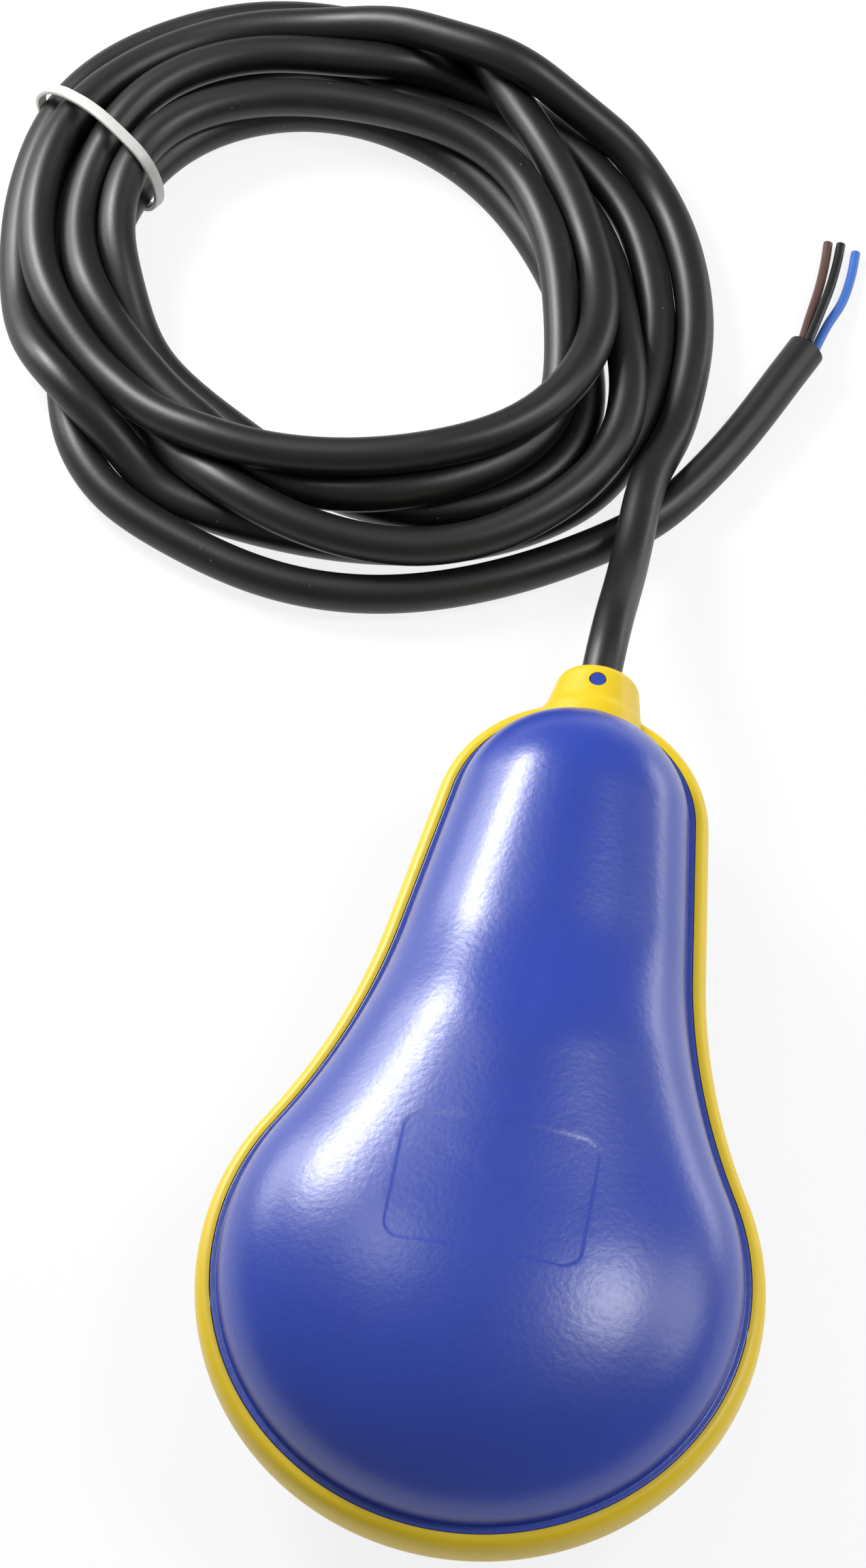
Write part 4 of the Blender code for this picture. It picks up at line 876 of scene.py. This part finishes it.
def tie_loop(line):
    """Line of the strap in its own plane: out along the tie's direction, and up."""
    origin, along, normal, reach = tie_plane()
    side = (line - origin) @ normal
    crossing = np.nonzero((side[:-1] > 0) != (side[1:] > 0))[0]
    turn = np.linspace(0, 2 * np.pi, STRAND_SIDES, endpoint=False)
    out = CABLE_RADIUS + TIE_THICKNESS / 2 + TIE_TOOTH + TIE_CLEARANCE
    rim = []
    for k in crossing:
        share = side[k] / (side[k] - side[k + 1])
        point = line[k] + (line[k + 1] - line[k]) * share
        span = (point - origin) @ along
        if -TIE_REACH < span < reach + TIE_REACH:
            rim.append(np.stack([span + out * np.cos(turn), point[2] + out * np.sin(turn)], 1))
    tight = even_loop(hull(np.concatenate(rim)), TIE_SPACING)[:, :2]
    middle = tight.mean(0)
    distance = np.linalg.norm(tight - middle, axis=1)
    spread = np.arange(-TIE_STIFF_POINTS, TIE_STIFF_POINTS + 1)
    weight = np.exp(-0.5 * (spread / TIE_SOFTNESS) ** 2)
    round_again = np.concatenate([distance[-TIE_STIFF_POINTS:], distance, distance[:TIE_STIFF_POINTS]])
    soft = np.convolve(round_again, weight / weight.sum(), "valid")
    loose = middle + (tight - middle) * (soft / distance * (distance / soft).max())[:, None]
    loose[:, 1] = np.maximum(loose[:, 1], TIE_THICKNESS / 2 + TIE_FLOOR_GAP)
    return even_loop(loose, TIE_SHOWN_SPACING)


def tie_strap(line):
    """The tie: a toothed strap drawn round the strands."""
    loop = tie_loop(line)
    values = {
        "Width": TIE_WIDTH, "Thickness": TIE_THICKNESS, "Pitch": TIE_PITCH, "Tooth": TIE_TOOTH,
        "Material": NYLON,
    }
    strap = grown("cable_tie_strap", loop, strap_tree(), values, closed=True)
    origin, along, normal, _ = tie_plane()
    place = Matrix((along, (0, 0, 1), -normal)).transposed().to_4x4()
    strap.data.transform(Matrix.Translation(origin) @ place)
    return strap


# Cable, tie and wire ends
cable_line = settled(traced_cable())
round_tube = tube_tree()
cable = grown(
    "cable", cable_line, round_tube, {"Radius": CABLE_RADIUS, "Sides": CABLE_SIDES, "Material": SHEATH},
)
finish_piece(cable, SHEATH, "cable_rubber", "cable_lead", "cable_coil", "cable_tail")
tie = tie_strap(cable_line)
finish_piece(tie, NYLON, "clear_nylon", "cable_tie")
for shade_name, route in WIRE_END_ROUTES.items():
    insulation = WIRE_MATERIALS[shade_name]
    wire = grown(
        "wire_" + shade_name, smooth_path(route, WIRE_SPACING), round_tube,
        {"Radius": WIRE_RADIUS, "Sides": WIRE_SIDES, "Material": insulation},
    )
    finish_piece(wire, insulation, shade_name + "_wire", "wire_end_" + shade_name)


def shell(name, side, joint, cap=None):
    """One half of the float: dome, ledge, flange, joint face and inner dome."""
    rings = [
        dome_ring(-LEDGE, 0.0, side, angle, cap)
        for angle in np.linspace(math.pi / 2, FOOT_ANGLE, DOME_STEPS)
    ]
    profile = rounded([
        (-LEDGE, FLANGE_HEIGHT + FOOT_ROUND * 1.2), (-LEDGE, FLANGE_HEIGHT), (0, FLANGE_HEIGHT),
        (0, FLANGE_HEIGHT - 2 * RIM_ROUND),
    ], RIM_ROUND, 4)
    rings += [flat_ring(offset, side * z) for offset, z in profile]
    rings += [flat_ring(-inset, side * z) for inset, z in joint]
    rings += [
        dome_ring(-SHELL_INSET, -WALL, side, angle)
        for angle in np.linspace(0, math.pi / 2, DOME_STEPS // 3)
    ]
    return place_mesh(name, skin(rings))


def rounded_rectangle(width, length, corner, steps=12):
    """Points of a rectangle with round corners, anticlockwise about its middle."""
    points = []
    for quarter, (a, b) in enumerate([(1, 1), (-1, 1), (-1, -1), (1, -1)]):
        centre = (a * (width / 2 - corner), b * (length / 2 - corner))
        points.append(arc(centre, corner, quarter * math.pi / 2, (quarter + 1) * math.pi / 2, steps))
    return even_loop(np.concatenate(points), PANEL_SPACING)[:, :2]


def panel_cutter(front):
    """Solid over the sunk panel: its underside is the panel's floor and soft edge, up past the dome."""
    surface = BVHTree.FromObject(front, bpy.context.evaluated_depsgraph_get())
    inner = rounded_rectangle(PANEL_WIDTH, PANEL_LENGTH, PANEL_CORNER)
    outward = np.roll(inner, -1, 0) - np.roll(inner, 1, 0)
    outward = np.stack([outward[:, 1], -outward[:, 0]], 1)
    outward /= np.linalg.norm(outward, axis=1)[:, None]
    rings = [(inner * share, -PANEL_DEPTH) for share in PANEL_FLOOR_SHARES]
    for step in np.linspace(-1, 1, PANEL_EDGE_STEPS):
        rise = PANEL_DEPTH * (0.5 + 0.5 * math.sin(step * math.pi / 2))
        rings.append((inner + outward * step * PANEL_SOFTNESS / 2, rise * PANEL_OVER_RISE - PANEL_DEPTH))
    rings.append((inner + outward * PANEL_SOFTNESS * PANEL_OVER_REACH, PANEL_CLEARANCE))
    placed = []
    for flat, lift in rings:
        ring = in_world(np.column_stack([flat + (0, PANEL_CENTRE), np.full(len(flat), RAY_HEIGHT)]))
        for point in ring:
            hit = surface.ray_cast(Vector(point), Vector((0, 0, -1)))[0]
            point[2] = hit.z + lift
        placed.append(ring)
    top = placed[-1].copy()
    top[:, 2] = SEAM_Z + SPACE_HEIGHT
    bm = skin(placed + [top])
    rims = [edge for edge in bm.edges if edge.is_boundary]
    bmesh.ops.holes_fill(bm, edges=rims, sides=0)
    return place_mesh("panel_space", bm)


def cable_bore():
    """Hole for the sleeve through both shells, and the cradle's groove under the cable."""
    low = in_world((0, SLEEVE_START - SEAM_GAP, 0))
    bore = cylinder("cable_bore", low, in_world((0, NOZZLE_TIP, 0)), SLEEVE_HOLE, BORE_SIDES)
    low = in_world((0, CRADLE_START - CRADLE_LENGTH / 2, 0))
    high = in_world((0, CRADLE_START + 1.2 * CRADLE_LENGTH, 0))
    cut(bore, cylinder("cradle_groove", low, high, CABLE_HOLE, BORE_SIDES), "UNION")
    return bore


def screw_bosses():
    """Posts for the switch case and the cable's cradle, cut to fit into the rear shell."""
    deep = -(FLANGE_HEIGHT + 2 * BELLY_RISE)
    low = in_world((-CRADLE_WIDTH / 2, CRADLE_START, deep))
    high = in_world((CRADLE_WIDTH / 2, CRADLE_START + CRADLE_LENGTH, CRADLE_TOP))
    bm = bmesh.new()
    bmesh.ops.create_cube(bm, size=1.0)
    for vert in bm.verts:
        vert.co = Vector((low + high) / 2) + vert.co * Vector(high - low)
    bosses = place_mesh("screw_bosses", bm)
    for x, y in POST_PLACES:
        post = cylinder("post", in_world((x, y, deep)), in_world((x, y, POST_TOP)), POST_RADIUS)
        cut(bosses, post, "UNION")
    cut(bosses, dome_solid("boss_trim", WALL / 3, -1), "INTERSECT")
    return bosses


def dome_solid(name, drop, side):
    """Closed solid of an outer dome lowered by drop, down to the seam."""
    rings = [flat_ring(-LEDGE - drop, 0.0)]
    rings += [dome_ring(-LEDGE - drop, -drop, side, a) for a in np.linspace(0, math.pi / 2, DOME_STEPS)]
    bm = skin(rings)
    bmesh.ops.holes_fill(bm, edges=[edge for edge in bm.edges if edge.is_boundary], sides=0)
    return place_mesh(name, bm)


# Shells
half_gap = SEAM_GAP / 2
groove_start = TONGUE_INSET - SEAM_GAP
groove_end = TONGUE_INSET + TONGUE_WIDTH + SEAM_GAP
groove_top = half_gap + TONGUE_HEIGHT + SEAM_GAP
front = shell("float_front", 1, [
    (0, half_gap), (groove_start, half_gap), (groove_start, groove_top), (groove_end, groove_top),
    (groove_end, half_gap), (SHELL_INSET, half_gap),
])
tongue_end = TONGUE_INSET + TONGUE_WIDTH
tongue_top = half_gap - TONGUE_HEIGHT
rear = shell("float_rear", -1, [
    (0, half_gap), (TONGUE_INSET, half_gap), (TONGUE_INSET, tongue_top), (tongue_end, tongue_top),
    (tongue_end, half_gap), (SHELL_INSET, half_gap),
], FLANGE_HEIGHT + BELLY_RISE - REST_FLAT)
cut(front, panel_cutter(front), "DIFFERENCE")
cut(front, cable_bore(), "DIFFERENCE")
cut(rear, screw_bosses(), "UNION")
cut(rear, cable_bore(), "DIFFERENCE")
for x, y in POST_PLACES:
    hole = cylinder("hole", in_world((x, y, POST_HOLE_BOTTOM)), in_world((x, y, 0)), POST_HOLE_RADIUS)
    cut(rear, hole, "DIFFERENCE")
clamp_y = CRADLE_START + CRADLE_LENGTH / 2
for x in (-CLAMP_HOLE_X, CLAMP_HOLE_X):
    low = in_world((x, clamp_y, CLAMP_HOLE_BOTTOM))
    high = in_world((x, clamp_y, CLAMP_HOLE_TOP))
    cut(rear, cylinder("hole", low, high, CLAMP_HOLE_RADIUS), "DIFFERENCE")
for half in (front, rear):
    shade(half, CRISP_ANGLE)
finish_piece(front, BLUE, "blue_plastic", "front_shell")
finish_piece(rear, BLUE, "blue_plastic", "rear_shell")


def nozzle_radius(y):
    """Radius of the tapered nozzle at a distance from the belly, with a flare at its foot."""
    rise = y - NECK_DISTANCE - NECK_RADIUS
    flare = FOOT_FLARE * math.exp(-((max(rise, 0) / FLARE_HEIGHT) ** 2))
    return NOZZLE_RADIUS - rise * math.tan(NOZZLE_TAPER) + flare


def nozzle_profile():
    """Half section of the nozzle as (radius, y): foot, flank, round end, lip and stepped bore."""
    shoulder = NOZZLE_TIP - NOZZLE_ROUND
    flank = [(nozzle_radius(y), y) for y in np.linspace(NOZZLE_START, shoulder, NOZZLE_STEPS)]
    edge = flank[-1][0] - NOZZLE_ROUND_ACROSS
    end = []
    for angle in np.linspace(0, math.pi / 2, NOZZLE_ROUND_STEPS)[1:]:
        radius = edge + NOZZLE_ROUND_ACROSS * math.cos(angle) - NOZZLE_LEAN * math.sin(2 * angle)
        end.append((radius, shoulder + NOZZLE_ROUND * math.sin(angle)))
    lip = rounded([
        (edge, NOZZLE_TIP), (CABLE_HOLE, NOZZLE_TIP), (CABLE_HOLE, NOZZLE_TIP - NOZZLE_LIP),
    ], LIP_ROUND, 3)[1:]
    return [(SLEEVE_HOLE, NOZZLE_START)] + flank + end + lip + [(SLEEVE_HOLE, NOZZLE_TIP - NOZZLE_LIP)]


# Band and nozzle
upper = [(SHOWN_GAP, FLANGE_HEIGHT)]
upper += [(out * BAND_WIDTH, height * FLANGE_HEIGHT) for out, height in BAND_PROFILE]
section = rounded(upper + [(out, -height) for out, height in upper[::-1]], BAND_ROUND, 3)
band_rings = [flat_ring(offset, z) for offset, z in section]
band = place_mesh("seam_band_and_nozzle", skin(band_rings, closed=True))
neck_centre = in_world((0, NECK_DISTANCE, 0))
tip = in_world((0, NOZZLE_TIP, 0))
passage = cylinder("passage", neck_centre, tip, SLEEVE_HOLE + BAND_FACE, BORE_SIDES)
cut(band, passage, "DIFFERENCE")
nozzle = turned("nozzle", nozzle_profile())
rings = [dome_ring(SHOWN_GAP - LEDGE, SHOWN_GAP, 1, a) for a in np.linspace(math.pi / 2, 0, DOME_STEPS)]
rings += [flat_ring(SHOWN_GAP, FLANGE_HEIGHT + SHOWN_GAP), flat_ring(SHOWN_GAP, -FLANGE_HEIGHT - SHOWN_GAP)]
rings += [dome_ring(SHOWN_GAP - LEDGE, SHOWN_GAP, -1, a) for a in np.linspace(0, math.pi / 2, DOME_STEPS)]
cut(nozzle, place_mesh("shell_space", skin(rings)), "DIFFERENCE")
pin_y = NOZZLE_TIP - PIN_FROM_TIP
reach = 1.5 * NOZZLE_RADIUS
pin_holes = cylinder(
    "pin_holes", in_world((0, pin_y, -reach)), in_world((0, pin_y, reach)), PIN_RADIUS + 2 * SHOWN_GAP,
)
cut(nozzle, pin_holes, "DIFFERENCE")
cut(band, nozzle, "UNION")
shade(band, CRISP_ANGLE)
finish_piece(band, YELLOW, "yellow_plastic", "seam_band")

# Materials of the solid nodes that stay
NODE_MATERIALS = {
    "cable_sleeve": BLUE,
    "cable_seal": SHEATH,
    "cable_clamp": WHITE,
    "clamp_screw_1": ZINC,
    "clamp_screw_2": ZINC,
    "switch_case": WHITE,
    "switch_lid": WHITE,
    "case_screw_1": ZINC,
    "case_screw_2": ZINC,
    "case_screw_3": ZINC,
    "case_screw_4": ZINC,
    "ball_channel": GREY,
    "steel_ball": STEEL,
    "microswitch_body": DARK,
    "switch_plunger": RED,
    "switch_lever": ZINC,
    "lever_pin": STEEL,
    "terminal_common": BRASS,
    "terminal_open": BRASS,
    "terminal_closed": BRASS,
    "inner_wire_brown": WIRE_MATERIALS["brown"],
    "inner_wire_black": WIRE_MATERIALS["black"],
    "inner_wire_blue": WIRE_MATERIALS["blue"],
}
for node_name, material in NODE_MATERIALS.items():
    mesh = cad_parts[node_name].data
    mesh.materials.clear()
    mesh.materials.append(material)


# Studio: where the lamps point, the floor, how much white it shows, and the light from all round
LIGHT_TARGET = (0, 0.03, 0.02)
FLOOR_HALF_WIDTH = 4.0
PAPER_ROUGHNESS = 0.9
FLOOR_WHITE = 0.85
ROOM_LIGHT = 0.26
# Each lamp's name, direction, distance, width, height and power. The two near ones stand on the left,
# beyond the neck, and draw the long highlight down that side. The others light the right and the top.
LAMPS = [
    ("key", (-0.665, 0.53, 0.54), 0.60, 0.21, 0.15, 2.9),
    ("key_wide", (-0.86, 0.45, 0.22), 0.60, 0.26, 0.20, 0.8),
    ("right_square", (0.49, 0.17, 0.86), 1.1, 0.34, 0.34, 4.2),
    ("right_wide", (0.84, 0.20, 0.50), 1.0, 0.52, 0.46, 1.9),
    ("right_low", (0.72, 0.67, 0.04), 0.8, 0.40, 0.06, 0.7),
    ("small_top", (-0.40, 0.24, 0.88), 1.1, 0.24, 0.24, 1.1),
]


def softbox(name, direction, distance, width, height, power):
    """Oval soft light that faces the float from a direction."""
    data = bpy.data.lights.new(name, "AREA")
    data.shape = "ELLIPSE"
    data.size = width
    data.size_y = height
    data.energy = power
    lamp = bpy.data.objects.new(name, data)
    away = Vector(direction).normalized()
    lamp.location = Vector(LIGHT_TARGET) + away * distance
    lamp.rotation_mode = "QUATERNION"
    lamp.rotation_quaternion = away.to_track_quat("Z", "Y")
    lamp.visible_camera = False
    bpy.context.scene.collection.objects.link(lamp)


def paper_floor():
    """Matt white paper: it shows nearly white to the camera and in gleams, and keeps the shadow."""
    material, tree, shader = new_material("white_paper")
    shader.inputs["Base Color"].default_value = color("#F2F2F2")
    shader.inputs["Roughness"].default_value = PAPER_ROUGHNESS
    path = add_node(tree, "ShaderNodeLightPath")
    direct = add_node(
        tree, "ShaderNodeMath",
        {0: path.outputs["Is Camera Ray"], 1: path.outputs["Is Transmission Ray"]}, operation="MAXIMUM",
    )
    white_share = add_node(
        tree, "ShaderNodeMath", {0: direct.outputs[0], 1: FLOOR_WHITE}, operation="MULTIPLY",
    )
    share = add_node(
        tree, "ShaderNodeMath",
        {0: white_share.outputs[0], 1: path.outputs["Is Glossy Ray"]}, operation="MAXIMUM",
    )
    white = add_node(tree, "ShaderNodeEmission", {"Color": (1, 1, 1, 1), "Strength": 1.0})
    mix = add_node(
        tree, "ShaderNodeMixShader",
        {0: share.outputs[0], 1: shader.outputs[0], 2: white.outputs[0]},
    )
    tree.links.new(mix.outputs[0], tree.nodes["Material Output"].inputs["Surface"])
    return material


# Floor, world and lights
bm = bmesh.new()
bmesh.ops.create_grid(bm, x_segments=1, y_segments=1, size=FLOOR_HALF_WIDTH)
floor = place_mesh("floor", bm)
floor.data.materials.append(paper_floor())

world = bpy.data.worlds.new("studio")
bpy.context.scene.world = world
world.use_nodes = True
back = world.node_tree.nodes["Background"]
back.inputs["Color"].default_value = (1, 1, 1, 1)
back.inputs["Strength"].default_value = ROOM_LIGHT
for lamp_values in LAMPS:
    softbox(*lamp_values)
bpy.context.scene.view_settings.view_transform = "Standard"
